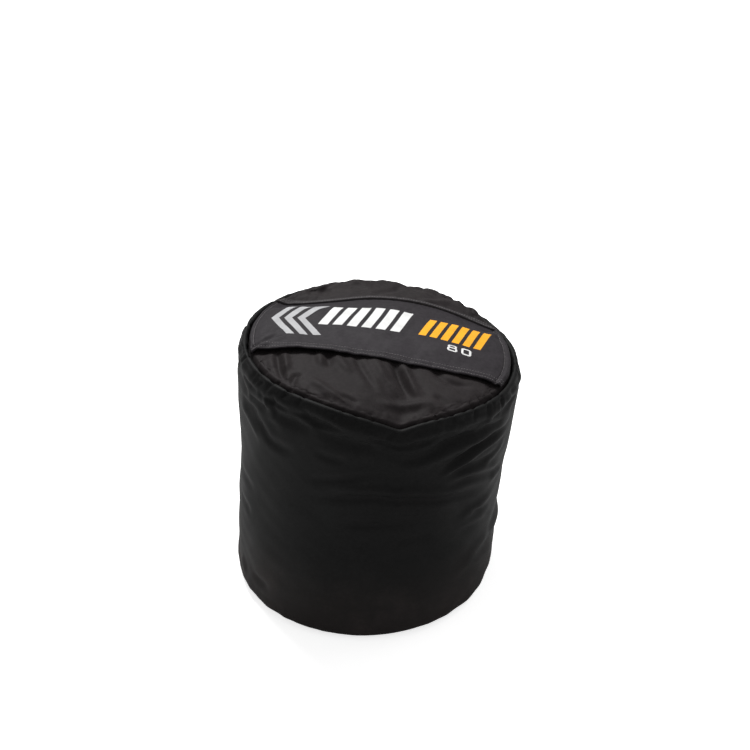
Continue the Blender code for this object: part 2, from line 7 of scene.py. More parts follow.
import json
import logging
import math
from dataclasses import dataclass, field
from enum import Enum
from typing import Sequence

import bpy
import numpy as np
from mathutils import Matrix, Vector

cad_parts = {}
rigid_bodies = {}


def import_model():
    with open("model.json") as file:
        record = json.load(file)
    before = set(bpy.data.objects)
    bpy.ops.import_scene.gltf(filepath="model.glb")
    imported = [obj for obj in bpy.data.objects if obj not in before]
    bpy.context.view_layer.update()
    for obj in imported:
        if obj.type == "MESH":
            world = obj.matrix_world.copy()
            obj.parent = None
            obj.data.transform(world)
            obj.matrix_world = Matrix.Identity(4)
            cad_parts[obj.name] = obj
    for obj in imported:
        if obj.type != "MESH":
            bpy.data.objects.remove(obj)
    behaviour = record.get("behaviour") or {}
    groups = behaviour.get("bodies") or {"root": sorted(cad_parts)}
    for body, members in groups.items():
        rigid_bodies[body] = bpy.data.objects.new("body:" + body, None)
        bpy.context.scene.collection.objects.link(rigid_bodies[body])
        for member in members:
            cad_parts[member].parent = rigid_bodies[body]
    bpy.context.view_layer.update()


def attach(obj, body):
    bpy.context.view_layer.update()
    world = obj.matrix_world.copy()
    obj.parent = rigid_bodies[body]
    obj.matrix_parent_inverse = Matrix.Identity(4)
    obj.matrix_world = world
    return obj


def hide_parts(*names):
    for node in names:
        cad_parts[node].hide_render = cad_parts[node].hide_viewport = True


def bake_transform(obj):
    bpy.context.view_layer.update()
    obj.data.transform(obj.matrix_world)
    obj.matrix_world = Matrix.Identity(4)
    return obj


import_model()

LOG = logging.getLogger("sandbag")
TURN = 2 * math.pi
Grid = np.ndarray | float
Object = bpy.types.Object
Socket = bpy.types.NodeSocket
Sockets = bpy.types.bpy_prop_collection
Pair = tuple[float, float]
Span = Pair  # where a ramp starts and how far it reaches
Hump = tuple[float, float, float]  # height, middle and width
Ripple = tuple[float, float, int]  # height, scale and seed


class Body(Enum):
    """The part's moving bodies."""

    BAG = "bag"
    FLAP = "flap"
    SLIDER = "zip_slider"


class Slot(Enum):
    """The record's material slots."""

    WALL = "wall_cloth"
    TOP = "top_cloth"
    FLAP = "flap_cloth"
    BINDING = "seam_binding"
    HOOKS = "hook_tape"
    LOOPS = "loop_tape"
    ZIP_TAPE = "zip_tape"
    TEETH = "zip_teeth"
    METAL = "zip_metal"
    LINER = "liner_cloth"
    TIE = "tie_band"
    SAND = "sand"


class Extra(Enum):
    """Finishes that no slot of the record names."""

    THREAD = "thread"
    LAP = "lap_cloth"


class Stitch(Enum):
    """Kinds of stitch: from one to the next, then the length, width and height of each."""

    WEBBING = (0.0042, (0.0032, 0.0011, 0.0009))
    MOUTH = (0.0040, (0.0031, 0.0011, 0.0009))
    FLAP = (0.0040, (0.0033, 0.0013, 0.0011))


# ---- numbers over grids ----


def smooth(share: Grid) -> Grid:
    """Eases a share in and out."""
    held = np.clip(share, 0, 1)
    return held * held * (3 - 2 * held)


def ramp(place: Grid, start: float, reach: float) -> Grid:
    """Eases from 0 at a start to 1 at a reach past it, or before it where the reach is negative."""
    return smooth((place - start) / reach)


def mix(low: Grid, high: Grid, share: Grid) -> Grid:
    """The value at a share of the way from low to high."""
    return low + (high - low) * share


def hump(place: Grid, middle: float, width: float) -> Grid:
    """A soft bump: 1 at its middle and 0 well away from it."""
    return np.exp(-(((place - middle) / width) ** 2))


def humps(place: Grid, *bumps: Hump) -> Grid:
    """Soft bumps laid over each other."""
    return sum(height * hump(place, middle, width) for height, middle, width in bumps)


def roll(share: Grid) -> Grid:
    """How a rounded edge falls: 0 inside it and 1 at its very end."""
    return 1 - np.sqrt(1 - (1 - np.clip(share, 0, 1)) ** 2)


def squared(wave: Grid, power: float) -> Grid:
    """A sine or cosine with flattened swings, for outlines between an oval and a box."""
    return np.sign(wave) * np.abs(wave) ** power


def unit(vectors: Grid) -> Grid:
    """The vectors' directions."""
    return vectors / np.maximum(np.linalg.norm(vectors, axis=-1, keepdims=True), 1e-12)


def swirl(points: Grid, scale: float, seed: int) -> Grid:
    """Smooth random values of about -1 to 1 over points in space.

    Args:
        points: The places, with X, Y and Z last.
        scale: The usual distance between one swell and the next.
        seed: Picks one pattern.

    Returns:
        One value for each point.
    """
    waves = 16
    draw = np.random.default_rng(seed)
    total = np.zeros(points.shape[:-1])
    for _ in range(waves):
        heading = draw.normal(size=3)
        heading /= np.linalg.norm(heading)
        length = scale * draw.uniform(0.65, 1.6)
        total += np.sin(points @ heading * (TURN / length) + draw.uniform(0, TURN))
    return total / math.sqrt(waves)


def ripples(points: Grid, *layers: Ripple) -> Grid:
    """Random swells laid over each other."""
    return sum(height * swirl(points, scale, seed) for height, scale, seed in layers)


def curve_through(knots: Sequence[Pair], count: int) -> Grid:
    """Points evenly spread along a smooth line through knots.

    Args:
        knots: The pairs that the line passes through.
        count: How many points to return.

    Returns:
        The points, one pair to a row.
    """
    path = np.array(knots, float)
    ends = np.concatenate([[2 * path[0] - path[1]], path, [2 * path[-1] - path[-2]]])
    steps = 24
    t = np.linspace(0, 1, steps, endpoint=False)[:, None]
    places = []
    for here in range(len(path) - 1):
        a, b, c, d = ends[here : here + 4]
        bend = 2 * a - 5 * b + 4 * c - d
        turn = 3 * (b - c) + d - a
        places.append(0.5 * (2 * b + (c - a) * t + bend * t**2 + turn * t**3))
    fine = np.concatenate([*places, path[-1:]])
    run = np.concatenate([[0], np.cumsum(np.linalg.norm(np.diff(fine, axis=0), axis=1))])
    stops = np.linspace(0, run[-1], count)
    return np.stack([np.interp(stops, run, fine[:, axis]) for axis in range(2)], 1)


def spread(full: int, coarse: int, wraps: bool = False) -> Grid:
    """Weights that take values at a few even places to values at many.

    Args:
        full: How many values there will be.
        coarse: How many there are.
        wraps: True where the last place lies next to the first.

    Returns:
        A matrix of full rows and coarse columns.
    """
    open_end = 0 if wraps else 1
    weights = np.zeros((full, coarse))
    for row in range(full):
        place = row * (coarse - open_end) / (full - open_end)
        base = min(int(place), coarse - 1 - open_end)
        t = place - base
        shares = (
            -0.5 * t + t**2 - 0.5 * t**3,
            1 - 2.5 * t**2 + 1.5 * t**3,
            0.5 * t + 2 * t**2 - 1.5 * t**3,
            -0.5 * t**2 + 0.5 * t**3,
        )
        for column, share in enumerate(shares, base - 1):
            column = column % coarse if wraps else min(max(column, 0), coarse - 1)
            weights[row, column] += share
    return weights


# ---- the bag's overall form ----


@dataclass(frozen=True)
class Form:
    """Form of the full bag, as the solids have it, and the soft swells of its top.

    The shoulder is a bump of the rim's front. Each swell has a place, a height and a radius, and is
    longer along X by the stretch. Calm is the distance from the zip at which they set in.
    """

    seam_radius: float = 0.200
    rim_height: float = 0.391
    bulges: tuple[float, float, float] = (0.0005, 0.0005, 0.006)
    girths: tuple[float, float, float] = (0.20, 0.55, 0.90)
    base_corner: float = 0.019
    top_shift: float = 0.027
    top_tilt: float = math.radians(5.65)
    crown: float = 0.0221
    front_crown: float = 0.0156
    dip: float = 0.0205
    dip_middle: float = 0.0480
    dip_width: float = 0.038
    dip_tip: float = 0.006
    shoulder: Hump = (0.0030, -0.075, 0.045)
    zip_y: float = 0.030
    swells: tuple[tuple[float, float, float, float], ...] = (
        (0.030, 0.108, 0.0085, 0.055),
        (-0.155, 0.085, -0.0075, 0.050),
        (0.165, 0.090, -0.0030, 0.035),
    )
    stretch: float = 1.6
    calm: Span = (0.016, 0.030)

    @property
    def base_radius(self) -> float:
        """Radius of the flat base."""
        return self.seam_radius + self.bulges[0] - self.base_corner

    def arc_radius(self, rise: float) -> float:
        """Radius of the arc that rises so far over the seam's radius."""
        return (self.seam_radius**2 + rise**2) / (2 * rise)

    def top_height(self, x: Grid, y: Grid) -> Grid:
        """Height of the top cloth on the upright bag, without the swells.

        Args:
            x: Places along the flap.
            y: Places across it.

        Returns:
            The heights.
        """
        fall = 0.0
        for offset, rise in ((x, self.crown), (y, self.front_crown)):
            radius = self.arc_radius(rise)
            fall = fall + radius - np.sqrt(radius**2 - offset**2)
        forward = np.clip(-y / self.seam_radius, 0, 1)
        aside = np.hypot(x - self.dip_middle, self.dip_tip) - self.dip_tip
        dip = self.dip * np.exp(-aside / self.dip_width) * forward**2
        return self.rim_height + self.crown - fall - dip + humps(x, self.shoulder) * forward**2

    def swell(self, x: Grid, y: Grid) -> Grid:
        """How far the soft swells lift the top, at the places of its arguments.

        Args:
            x: Places along the flap.
            y: Places across it.

        Returns:
            The lift at each place.
        """
        total = 0.0
        for at_x, at_y, height, radius in self.swells:
            away = -(((x - at_x) / (self.stretch * radius)) ** 2) - ((y - at_y) / radius) ** 2
            total = total + height * np.exp(away)
        return total

    def mouth_calm(self, y: Grid) -> Grid:
        """0 over the zip, where the top stays as the solids have it, and 1 away from it."""
        return ramp(np.abs(y - self.zip_y), *self.calm)

    def rim_level(self, angle: Grid) -> Grid:
        """Height of the rim seam in a direction."""
        return self.top_height(self.seam_radius * np.cos(angle), self.seam_radius * np.sin(angle))

    def wall_radius(self, share: Grid) -> Grid:
        """Radius of the wall at a share of its height.

        Args:
            share: The height as a share of the rim's.

        Returns:
            The radius.
        """
        low, middle, high = self.girths
        first = mix(self.bulges[0], self.bulges[1], ramp(share, low, middle - low))
        second = mix(self.bulges[1], self.bulges[2], ramp(share, middle, high - middle))
        return self.seam_radius + np.where(share <= middle, first, second)

    def settle(self, x: Grid, y: Grid, z: Grid) -> Grid:
        """Where points of the upright bag end up in the slumped one.

        Args:
            x: Places along the flap.
            y: Places across it.
            z: Heights.

        Returns:
            The points, with X, Y and Z last.
        """
        x, y, z = np.broadcast_arrays(x, y, z)
        share = np.clip(z / self.rim_height, 0, 1)
        turn = self.top_tilt * share
        above = np.maximum(z - self.rim_height, 0)
        across = self.top_shift * share + x * np.cos(turn) + above * math.sin(self.top_tilt)
        height = np.minimum(z, self.rim_height) - x * np.sin(turn) + above * math.cos(self.top_tilt)
        return np.stack([across, y, height], -1)

    def ring(self, radius: Grid, angles: Grid, z: Grid, y: float = 0.0) -> Grid:
        """Settled points at a radius and a height round an axis, which may stand off the bag's."""
        return self.settle(radius * np.cos(angles), y + radius * np.sin(angles), z)

    def on_top(self, x: float, y: float, above: float) -> Vector:
        """A point at a height above the rim's, in the top's own tilted frame."""
        place = Matrix.Rotation(self.top_tilt, 4, "Y") @ Vector((x, y, above))
        return place + Vector((self.top_shift, 0, self.rim_height))


FORM = Form()
GIRTH = TURN * FORM.seam_radius


def turns(columns: int) -> Grid:
    """Even directions round the bag, from its back seam through -X, -Y and +X."""
    return np.radians(-270 + 360 * np.arange(columns) / columns)


def from_place(run: Grid, place: float) -> Grid:
    """Distance along the rim seam from a place on it, the shorter way round."""
    return np.mod(run - place + GIRTH / 2, GIRTH) - GIRTH / 2


@dataclass(frozen=True)
class Zone:
    """A stretch beside a seam: a soft bump by the distance from it, which a ramp cuts off."""

    middle: float
    width: float
    start: float
    reach: float

    def over(self, away: Grid) -> Grid:
        """1 in the zone and 0 well outside it."""
        return hump(away, self.middle, self.width) * ramp(away, self.start, self.reach)


@dataclass(frozen=True)
class Tucks:
    """Narrow tucks at random places along the rim seam, as the needle leaves them.

    Each is drawn a place, a width and a share of the full depth.
    """

    count: int
    seed: int
    depth: float
    zone: Zone
    slant: float = 0.0
    widths: Pair = (0.0016, 0.0042)
    shares: Pair = (0.25, 1.0)

    def at(self, run: Grid, away: Grid) -> Grid:
        """How deep the tucks are.

        Args:
            run: Distance along the seam at each place of the cloth.
            away: Distance from the seam, along which the tucks slant.

        Returns:
            The depth at each place, in metres.
        """
        draw = np.random.default_rng(self.seed)
        spans = (0, GIRTH), self.widths, self.shares
        drawn = zip(*(draw.uniform(*span, self.count) for span in spans))
        place = run + self.slant * away
        tucks = sum(share * hump(from_place(place, at), 0, width) for at, width, share in drawn)
        return self.depth * tucks * self.zone.over(away)


def seam_pinches(run: Grid, away: Grid) -> Grid:
    """How far the deeper tucks in PINCHES pull the cloth in at the rim seam.

    Args:
        run: Distance along the seam at each place of the cloth.
        away: Distance from the seam.

    Returns:
        The depth at each place, in metres.
    """
    total = 0.0
    for angle, depth, width, reach in PINCHES:
        near = hump(from_place(run, GIRTH * angle / 360), 0, width / 1000)
        total = total + depth / 1000 * near * hump(away, 0, reach / 1000)
    return total


# ---- cloth as grids of points ----


def add(name: str, data: bpy.types.ID) -> Object:
    """Puts a mesh, a lamp or a camera into the scene.

    Args:
        name: The object's name.
        data: What it shows.

    Returns:
        The object.
    """
    obj = bpy.data.objects.new(name, data)
    bpy.context.scene.collection.objects.link(obj)
    return obj


def new_mesh(name: str, places: list, faces: list, edges: Sequence = ()) -> bpy.types.Mesh:
    """A mesh of points, faces and loose edges.

    Args:
        name: The mesh's name.
        places: Its points.
        faces: Point numbers of each face.
        edges: Point numbers of each loose edge.

    Returns:
        The mesh.
    """
    mesh = bpy.data.meshes.new(name)
    mesh.from_pydata(places, edges, faces)
    return mesh


def quads(number: Grid, wraps: bool = False) -> Grid:
    """Faces between neighbours in a grid of point numbers.

    Args:
        number: The number of each point, in rows and columns.
        wraps: True where the last column joins the first.

    Returns:
        Four point numbers to a face.
    """
    after = np.roll(number, -1, 1) if wraps else number[:, 1:]
    here = number if wraps else number[:, :-1]
    return np.stack([part.ravel() for part in (here[:-1], after[:-1], after[1:], here[1:])], 1)


class Cloth:
    """A sheet of cloth as rows of points, each with its place in the flat sheet's plan."""

    LINING = 1.0  # how far the inner face's plan lies off the outer's, in metres

    def __init__(self, points: Grid, plan: Grid, girth: float = 0.0) -> None:
        """Takes the sheet's outer face.

        Args:
            points: Rows by columns by three; columns crossed with rows point outwards.
            plan: Rows by columns by two, in metres on the flat sheet.
            girth: The flat sheet's length where its last column is sewn to its first, else 0.
        """
        self.points = points.astype(float)
        self.plan = plan.astype(float)
        self.girth = girth
        self.wraps = girth > 0

    def normals(self) -> Grid:
        """The outward direction at each point.

        Returns:
            The directions, in rows and columns.
        """
        if self.wraps:
            across = np.roll(self.points, -1, 1) - np.roll(self.points, 1, 1)
        else:
            across = np.gradient(self.points, axis=1)
        return unit(np.cross(across, np.gradient(self.points, axis=0)))

    def push(self, amount: Grid) -> "Cloth":
        """Moves each point outwards by its own amount."""
        self.points = self.points + self.normals() * np.asarray(amount)[..., None]
        return self

    def at(self, rows: Grid, columns: Grid, lift: float = 0.0) -> Grid:
        """Points of the sheet between its grid points.

        Args:
            rows: Row of each point, counted from 0 and with a fraction, or one row for all.
            columns: Column of each point, or one for all.
            lift: Distance off the outer face.

        Returns:
            The points, one to a row.
        """
        height, width = self.points.shape[:2]
        places = self.points + self.normals() * lift
        rows, columns = np.broadcast_arrays(rows, columns)
        r = np.clip(rows, 0, height - 1 - 1e-9)
        c = np.mod(columns, width) if self.wraps else np.clip(columns, 0, width - 1 - 1e-9)
        low, left = r.astype(int), c.astype(int)
        high, right = np.minimum(low + 1, height - 1), (left + 1) % width
        across, up = (c - left)[:, None], (r - low)[:, None]
        below = mix(places[low, left], places[low, right], across)
        above = mix(places[high, left], places[high, right], across)
        return mix(below, above, up)

    def shell(self, name: str, thickness: Grid | float) -> Object:
        """Gives the sheet its thickness, with rounded edges, and a UV map of its plan.

        Args:
            name: The piece's name.
            thickness: The cloth's thickness, one number or one for each point.

        Returns:
            The closed piece.
        """
        rows, columns = self.points.shape[:2]
        count = rows * columns
        number = np.arange(count).reshape(rows, columns)
        thick = np.broadcast_to(thickness, (rows, columns)).reshape(-1, 1)
        normals = self.normals().reshape(-1, 3)
        outer = self.points.reshape(-1, 3)
        inner = outer - normals * thick
        plan = self.plan.reshape(-1, 2)
        front = quads(number, self.wraps)
        places, faces = [outer, inner], [front, front[:, ::-1] + count]
        plans = [plan[front], plan[front[:, ::-1]] + (0, self.LINING)]
        total = 2 * count
        for border in self.borders(number):
            ahead = np.roll(outer[border], -1, 0) - np.roll(outer[border], 1, 0)
            away = unit(np.cross(ahead, normals[border]))
            places.append((outer[border] + inner[border]) / 2 + away * thick[border] / 2)
            edge = total + np.arange(len(border))
            total += len(border)
            after, edge_after = np.roll(border, -1), np.roll(edge, -1)
            faces.append(np.stack([after, border, edge, edge_after], 1))
            faces.append(np.stack([edge_after, edge, border + count, after + count], 1))
            plans += [plan[np.stack([after, border, border, after], 1)]] * 2
        mesh = new_mesh(name, np.concatenate(places).tolist(), np.concatenate(faces).tolist())
        self.lay_plan(mesh, np.concatenate(plans))
        mesh.shade_smooth()
        return add(name, mesh)

    def borders(self, number: Grid) -> list[Grid]:
        """The sheet's open edges, each a loop of point numbers with the sheet on its left.

        Args:
            number: The number of each point, in rows and columns.

        Returns:
            The point numbers of each edge.
        """
        if self.wraps:
            return [number[0], number[-1][::-1]]
        sides = number[0, :-1], number[:-1, -1], number[-1, :0:-1], number[:0:-1, 0]
        return [np.concatenate(sides)]

    def lay_plan(self, mesh: bpy.types.Mesh, uv: Grid) -> None:
        """Writes the plan as the mesh's UV map, without a jump where the sheet is sewn round.

        Args:
            mesh: The piece's mesh.
            uv: The flat place of each face's corners.
        """
        if self.wraps:
            behind = uv[..., 0].max(1, keepdims=True) - uv[..., 0]
            uv[..., 0] += np.where(behind > self.girth / 2, self.girth, 0)
        layer = mesh.uv_layers.new(name="plan")
        layer.uv.foreach_set("vector", uv.reshape(-1).astype(np.float32))


@dataclass(frozen=True)
class Drape:
    """How a sheet is let go in a cloth simulation before its folds are laid in."""

    rows: int
    columns: int
    pressure: float = 4.0
    most: float = 0.004
    slack: float = 0.012
    frames: int = 16

    def relax(self, cloth: Cloth, held: Grid) -> None:
        """Lets the sheet swell against its seams and keeps what that does to it.

        Args:
            cloth: The sheet, which is changed.
            held: 1 at each point that its seams hold, 0 where it is free.
        """
        height, width = cloth.points.shape[:2]
        rows = np.linspace(0, height - 1, self.rows).round().astype(int)
        ends = width if cloth.wraps else width - 1
        columns = np.linspace(0, ends, self.columns, endpoint=not cloth.wraps).round().astype(int)
        some = np.ix_(rows, columns)
        start = cloth.points[some]
        moved = self.simulate(start, np.clip(held, 0, 1)[some], cloth.wraps) - start
        far = np.linalg.norm(moved, axis=-1, keepdims=True)
        moved *= self.most * np.tanh(far / self.most) / np.maximum(far, 1e-9)
        up, across = spread(height, self.rows), spread(width, self.columns, cloth.wraps)
        cloth.points = cloth.points + np.einsum("ri,cj,ijk->rck", up, across, moved)

    def simulate(self, start: Grid, held: Grid, wraps: bool) -> Grid:
        """Runs the simulation on a plain copy of the sheet.

        Args:
            start: Rows by columns by three.
            held: How firmly each point is pinned.
            wraps: True where the last column is sewn to the first.

        Returns:
            The points after the last frame.
        """
        number = np.arange(held.size).reshape(held.shape)
        faces = quads(number, wraps).tolist()
        obj = add("drape", new_mesh("drape", start.reshape(-1, 3).tolist(), faces))
        pins = obj.vertex_groups.new(name="held")
        for point, weight in enumerate(held.ravel()):
            if weight > 0:
                pins.add([point], float(weight), "REPLACE")
        modifier = obj.modifiers.new("drape", "CLOTH")
        for key, value in (
            ("quality", 6),
            ("mass", 0.4),
            ("tension_stiffness", 20),
            ("compression_stiffness", 20),
            ("bending_stiffness", 1.5),
            ("vertex_group_mass", "held"),
            ("use_pressure", True),
            ("uniform_pressure_force", self.pressure),
            ("shrink_min", -self.slack),
        ):
            setattr(modifier.settings, key, value)
        modifier.settings.effector_weights.gravity = 0
        modifier.point_cache.frame_start = 1
        modifier.point_cache.frame_end = self.frames
        scene = bpy.context.scene
        for step in range(1, self.frames + 1):
            scene.frame_set(step)
        result = obj.evaluated_get(bpy.context.evaluated_depsgraph_get()).data
        places = np.zeros(start.size)
        result.vertices.foreach_get("co", places)
        bpy.data.objects.remove(obj, do_unlink=True)
        scene.frame_set(1)
        return places.reshape(start.shape)


def skin(name: str, points: Grid, closed_rows: bool = False) -> Object:
    """A closed body whose points go round in rows, each row from the first to the last column.

    Args:
        name: The piece's name.
        points: Rows by columns by three; columns crossed with rows point outwards.
        closed_rows: True where the last row joins the first, as in a ring.

    Returns:
        The body; where its rows don't join, both ends are closed with a fan.
    """
    rows, columns = points.shape[:2]
    number = np.arange(rows * columns).reshape(rows, columns)
    faces = quads(np.concatenate([number, number[:1]]) if closed_rows else number, True).tolist()
    places = points.reshape(-1, 3).tolist()
    if not closed_rows:
        for row, order in ((0, -1), (rows - 1, 1)):
            places.append(points[row].mean(0).tolist())
            ring = number[row][::order].tolist()
            faces += [[a, b, len(places) - 1] for a, b in zip(ring, ring[1:] + ring[:1])]
    mesh = new_mesh(name, places, faces)
    mesh.shade_smooth()
    return add(name, mesh)


def line_mesh(lines: Sequence[Grid]) -> bpy.types.Mesh:
    """A mesh of plain lines for the rows of stitches or teeth to follow.

    Args:
        lines: The points of each line.

    Returns:
        The mesh.
    """
    points, edges = [], []
    for line in lines:
        first = len(points)
        points += line.tolist()
        edges += [(first + step, first + step + 1) for step in range(len(line) - 1)]
    return new_mesh("lines", points, [], edges)


# ---- node trees ----


GEOMETRY, MATERIAL, COUNT = "NodeSocketGeometry", "NodeSocketMaterial", "NodeSocketInt"
FLOAT, VECTOR = "NodeSocketFloat", "NodeSocketVector"
Inputs = Sequence[tuple[str, str, object]]


class Graph:
    """Short calls for the nodes of one tree: a material's, a group's or a repeater's."""

    def __init__(self, tree: bpy.types.NodeTree) -> None:
        """Works on a tree."""
        self.tree = tree

    def node(self, kind: str, settings: dict | None = None, **inputs: object) -> bpy.types.Node:
        """Adds a node.

        Args:
            kind: The node's type.
            settings: Properties to set on it.
            inputs: A value or a socket for each input named, with _ for a space.

        Returns:
            The node.
        """
        made = self.tree.nodes.new(kind)
        for key, value in (settings or {}).items():
            setattr(made, key, value)
        self.fill(made, **inputs)
        return made

    def fill(self, node: bpy.types.Node, **inputs: object) -> None:
        """Links or sets the inputs that are named, with _ for a space."""
        for label, value in inputs.items():
            self.feed(node.inputs[label.replace("_", " ")], value)

    def out(self, kind: str, settings: dict | None = None, **inputs: object) -> Socket:
        """Adds a node in the same way and returns its first output."""
        return self.node(kind, settings, **inputs).outputs[0]

    def feed(self, socket: Socket, value: object) -> None:
        """Links an input, or gives it a fixed value.

        Args:
            socket: The input.
            value: A socket to link from, or a value.
        """
        if isinstance(value, Socket):
            self.tree.links.new(value, socket)
        else:
            socket.default_value = value

    def math(self, operation: str, *values: object) -> Socket:
        """One step of arithmetic.

        Args:
            operation: The kind of step.
            values: A value or a socket for each input.

        Returns:
            The result.
        """
        made = self.node("ShaderNodeMath", {"operation": operation})
        for socket, value in zip(made.inputs, values):
            self.feed(socket, value)
        return made.outputs[0]

    def noise(self, place: Socket, scale: float, detail: float = 4, rough: float = 0.5) -> Socket:
        """Smooth noise of 0 to 1 over a place, scale times to the metre."""
        values = {"Vector": place, "Scale": scale, "Detail": detail, "Roughness": rough}
        return self.out("ShaderNodeTexNoise", **values)

    def between(self, value: object, low: object, high: object) -> Socket:
        """0 below low, 1 above high and a soft step between them."""
        kind = {"interpolation_type": "SMOOTHSTEP"}
        return self.out("ShaderNodeMapRange", kind, Value=value, From_Min=low, From_Max=high)

    def blend(self, share: object, first: object, second: object) -> Socket:
        """A colour at a share of the way from the first to the second.

        Args:
            share: The share.
            first: The colour at 0.
            second: The colour at 1.

        Returns:
            The colour.
        """
        made = self.node("ShaderNodeMix", {"data_type": "RGBA"})
        colours = [socket for socket in made.inputs if socket.type == "RGBA"]
        for socket, value in zip((made.inputs[0], *colours), (share, first, second)):
            self.feed(socket, value)
        return next(socket for socket in made.outputs if socket.type == "RGBA")

    def instances(self, points: Socket, shape: Socket, **inputs: Socket) -> Socket:
        """A shape at each point."""
        return self.out("GeometryNodeInstanceOnPoints", Points=points, Instance=shape, **inputs)

    def group(self, tree: bpy.types.NodeTree, **inputs: object) -> Sockets:
        """Uses a node group with some inputs linked or set, and returns its outputs."""
        return self.node("ShaderNodeGroup", {"node_tree": tree}, **inputs).outputs


def new_tree(
    name: str, kind: str, inputs: Inputs, outputs: Sequence[tuple[str, str]]
) -> tuple[Graph, Sockets, Sockets]:
    """Starts a node group.

    Args:
        name: The group's name.
        kind: The type of its tree.
        inputs: Label, socket type and default of each input, or None for no default.
        outputs: Label and socket type of each output.

    Returns:
        The graph to build on, the sockets to link from and the sockets to link to.
    """
    tree = bpy.data.node_groups.new(name, kind)
    for label, socket, value in inputs:
        made = tree.interface.new_socket(label, in_out="INPUT", socket_type=socket)
        if value is not None:
            made.default_value = value
    for label, socket in outputs:
        tree.interface.new_socket(label, in_out="OUTPUT", socket_type=socket)
    start, end = tree.nodes.new("NodeGroupInput"), tree.nodes.new("NodeGroupOutput")
    return Graph(tree), start.outputs, end.inputs


# ---- stitches, teeth and hooks, laid by node trees ----


@dataclass
class Repeater:
    """Lays one repeated shape with a node tree and keeps only the plain mesh."""

    name: str
    inputs: Inputs
    tree: bpy.types.NodeTree = field(init=False)

    def __post_init__(self) -> None:
        """Builds the tree: what is laid, then real meshes with smooth faces and the material."""
        inputs = [("Geometry", GEOMETRY, None), *self.inputs, ("Material", MATERIAL, None)]
        outputs = [("Geometry", GEOMETRY)]
        graph, given, end = new_tree(self.name, "GeometryNodeTree", inputs, outputs)
        laid = self.laid(graph, given)
        laid = graph.out("GeometryNodeRealizeInstances", Geometry=laid)
        laid = graph.out("GeometryNodeSetShadeSmooth", Geometry=laid)
        laid = graph.out("GeometryNodeSetMaterial", Geometry=laid, Material=given["Material"])
        graph.feed(end["Geometry"], laid)
        self.tree = graph.tree

    def laid(self, graph: Graph, given: Sockets) -> Socket:
        """Lays the instances, in each kind's own way."""
        raise NotImplementedError

    def lay(self, name: str, mesh: bpy.types.Mesh, **values: object) -> Object:
        """Runs the tree on a mesh.

        Args:
            name: The new piece's name.
            mesh: The lines or the faces that carry the shapes.
            values: The tree's inputs by name.

        Returns:
            The piece with every shape in its mesh.
        """
        carrier = add(name + "_carrier", mesh)
        modifier = carrier.modifiers.new("rows", "NODES")
        modifier.node_group = self.tree
        sockets = {item.name: item.identifier for item in self.tree.interface.items_tree}
        for label, value in values.items():
            modifier[sockets[label]] = value
        bpy.context.view_layer.update()
        graph = bpy.context.evaluated_depsgraph_get()
        made = bpy.data.meshes.new_from_object(carrier.evaluated_get(graph))
        bpy.data.objects.remove(carrier, do_unlink=True)
        made.name = name
        return add(name, made)


@dataclass
class Beads(Repeater):
    """Rounded beads along lines: stitches, or the teeth of a zip."""

    name: str = "Beads along a line"
    inputs: Inputs = (
        ("Pitch", FLOAT, 0.004),
        ("Size", VECTOR, (0.003, 0.001, 0.0008)),
        ("Jitter", FLOAT, 0.1),
        ("Seed", COUNT, 1),
    )

    def laid(self, graph: Graph, given: Sockets) -> Socket:
        """A bead at each pitch, along the line and of slightly uneven size.

        Args:
            graph: The tree to build on.
            given: The tree's inputs.

        Returns:
            The instances.
        """
        line, pitch = graph.out("GeometryNodeMeshToCurve", Mesh=given["Geometry"]), given["Pitch"]
        even = graph.out("GeometryNodeResampleCurve", {"mode": "LENGTH"}, Curve=line, Length=pitch)
        bead = graph.out("GeometryNodeMeshUVSphere", Segments=6, Rings=4, Radius=0.5)
        heading = graph.out("GeometryNodeInputTangent")
        turn = graph.out("FunctionNodeAlignRotationToVector", {"axis": "X"}, Vector=heading)
        jitter = graph.node("FunctionNodeRandomValue", {"data_type": "FLOAT"}, Seed=given["Seed"])
        spans = (socket for socket in jitter.inputs if socket.type == "VALUE" and socket.enabled)
        for socket, value in zip(spans, (graph.math("SUBTRACT", 1, given["Jitter"]), 1)):
            graph.feed(socket, value)
        share = next(socket for socket in jitter.outputs if socket.enabled)
        scaled = {"operation": "SCALE"}
        size = graph.out("ShaderNodeVectorMath", scaled, Vector=given["Size"], Scale=share)
        return graph.instances(even, bead, Rotation=turn, Scale=size)


@dataclass
class Pile(Repeater):
    """Small hooks or loops that stand all over a strip of tape."""

    name: str = "Pile on a tape"
    inputs: Inputs = (
        ("Density", FLOAT, 200000.0),
        ("Height", FLOAT, 0.001),
        ("Radius", FLOAT, 0.0004),
        ("Seed", COUNT, 1),
    )

    def laid(self, graph: Graph, given: Sockets) -> Socket:
        """A blunt cone at each random place.

        Args:
            graph: The tree to build on.
            given: The tree's inputs.

        Returns:
            The instances.
        """
        random = {"distribute_method": "RANDOM"}
        spots = {"Mesh": given["Geometry"], "Density": given["Density"], "Seed": given["Seed"]}
        places = graph.node("GeometryNodeDistributePointsOnFaces", random, **spots).outputs
        cone = {"Radius_Top": 0.00012, "Radius_Bottom": given["Radius"], "Depth": given["Height"]}
        hook = graph.out("GeometryNodeMeshCone", {"fill_type": "NGON"}, Vertices=4, **cone)
        return graph.instances(places["Points"], hook, Rotation=places["Rotation"])


# ---- materials ----


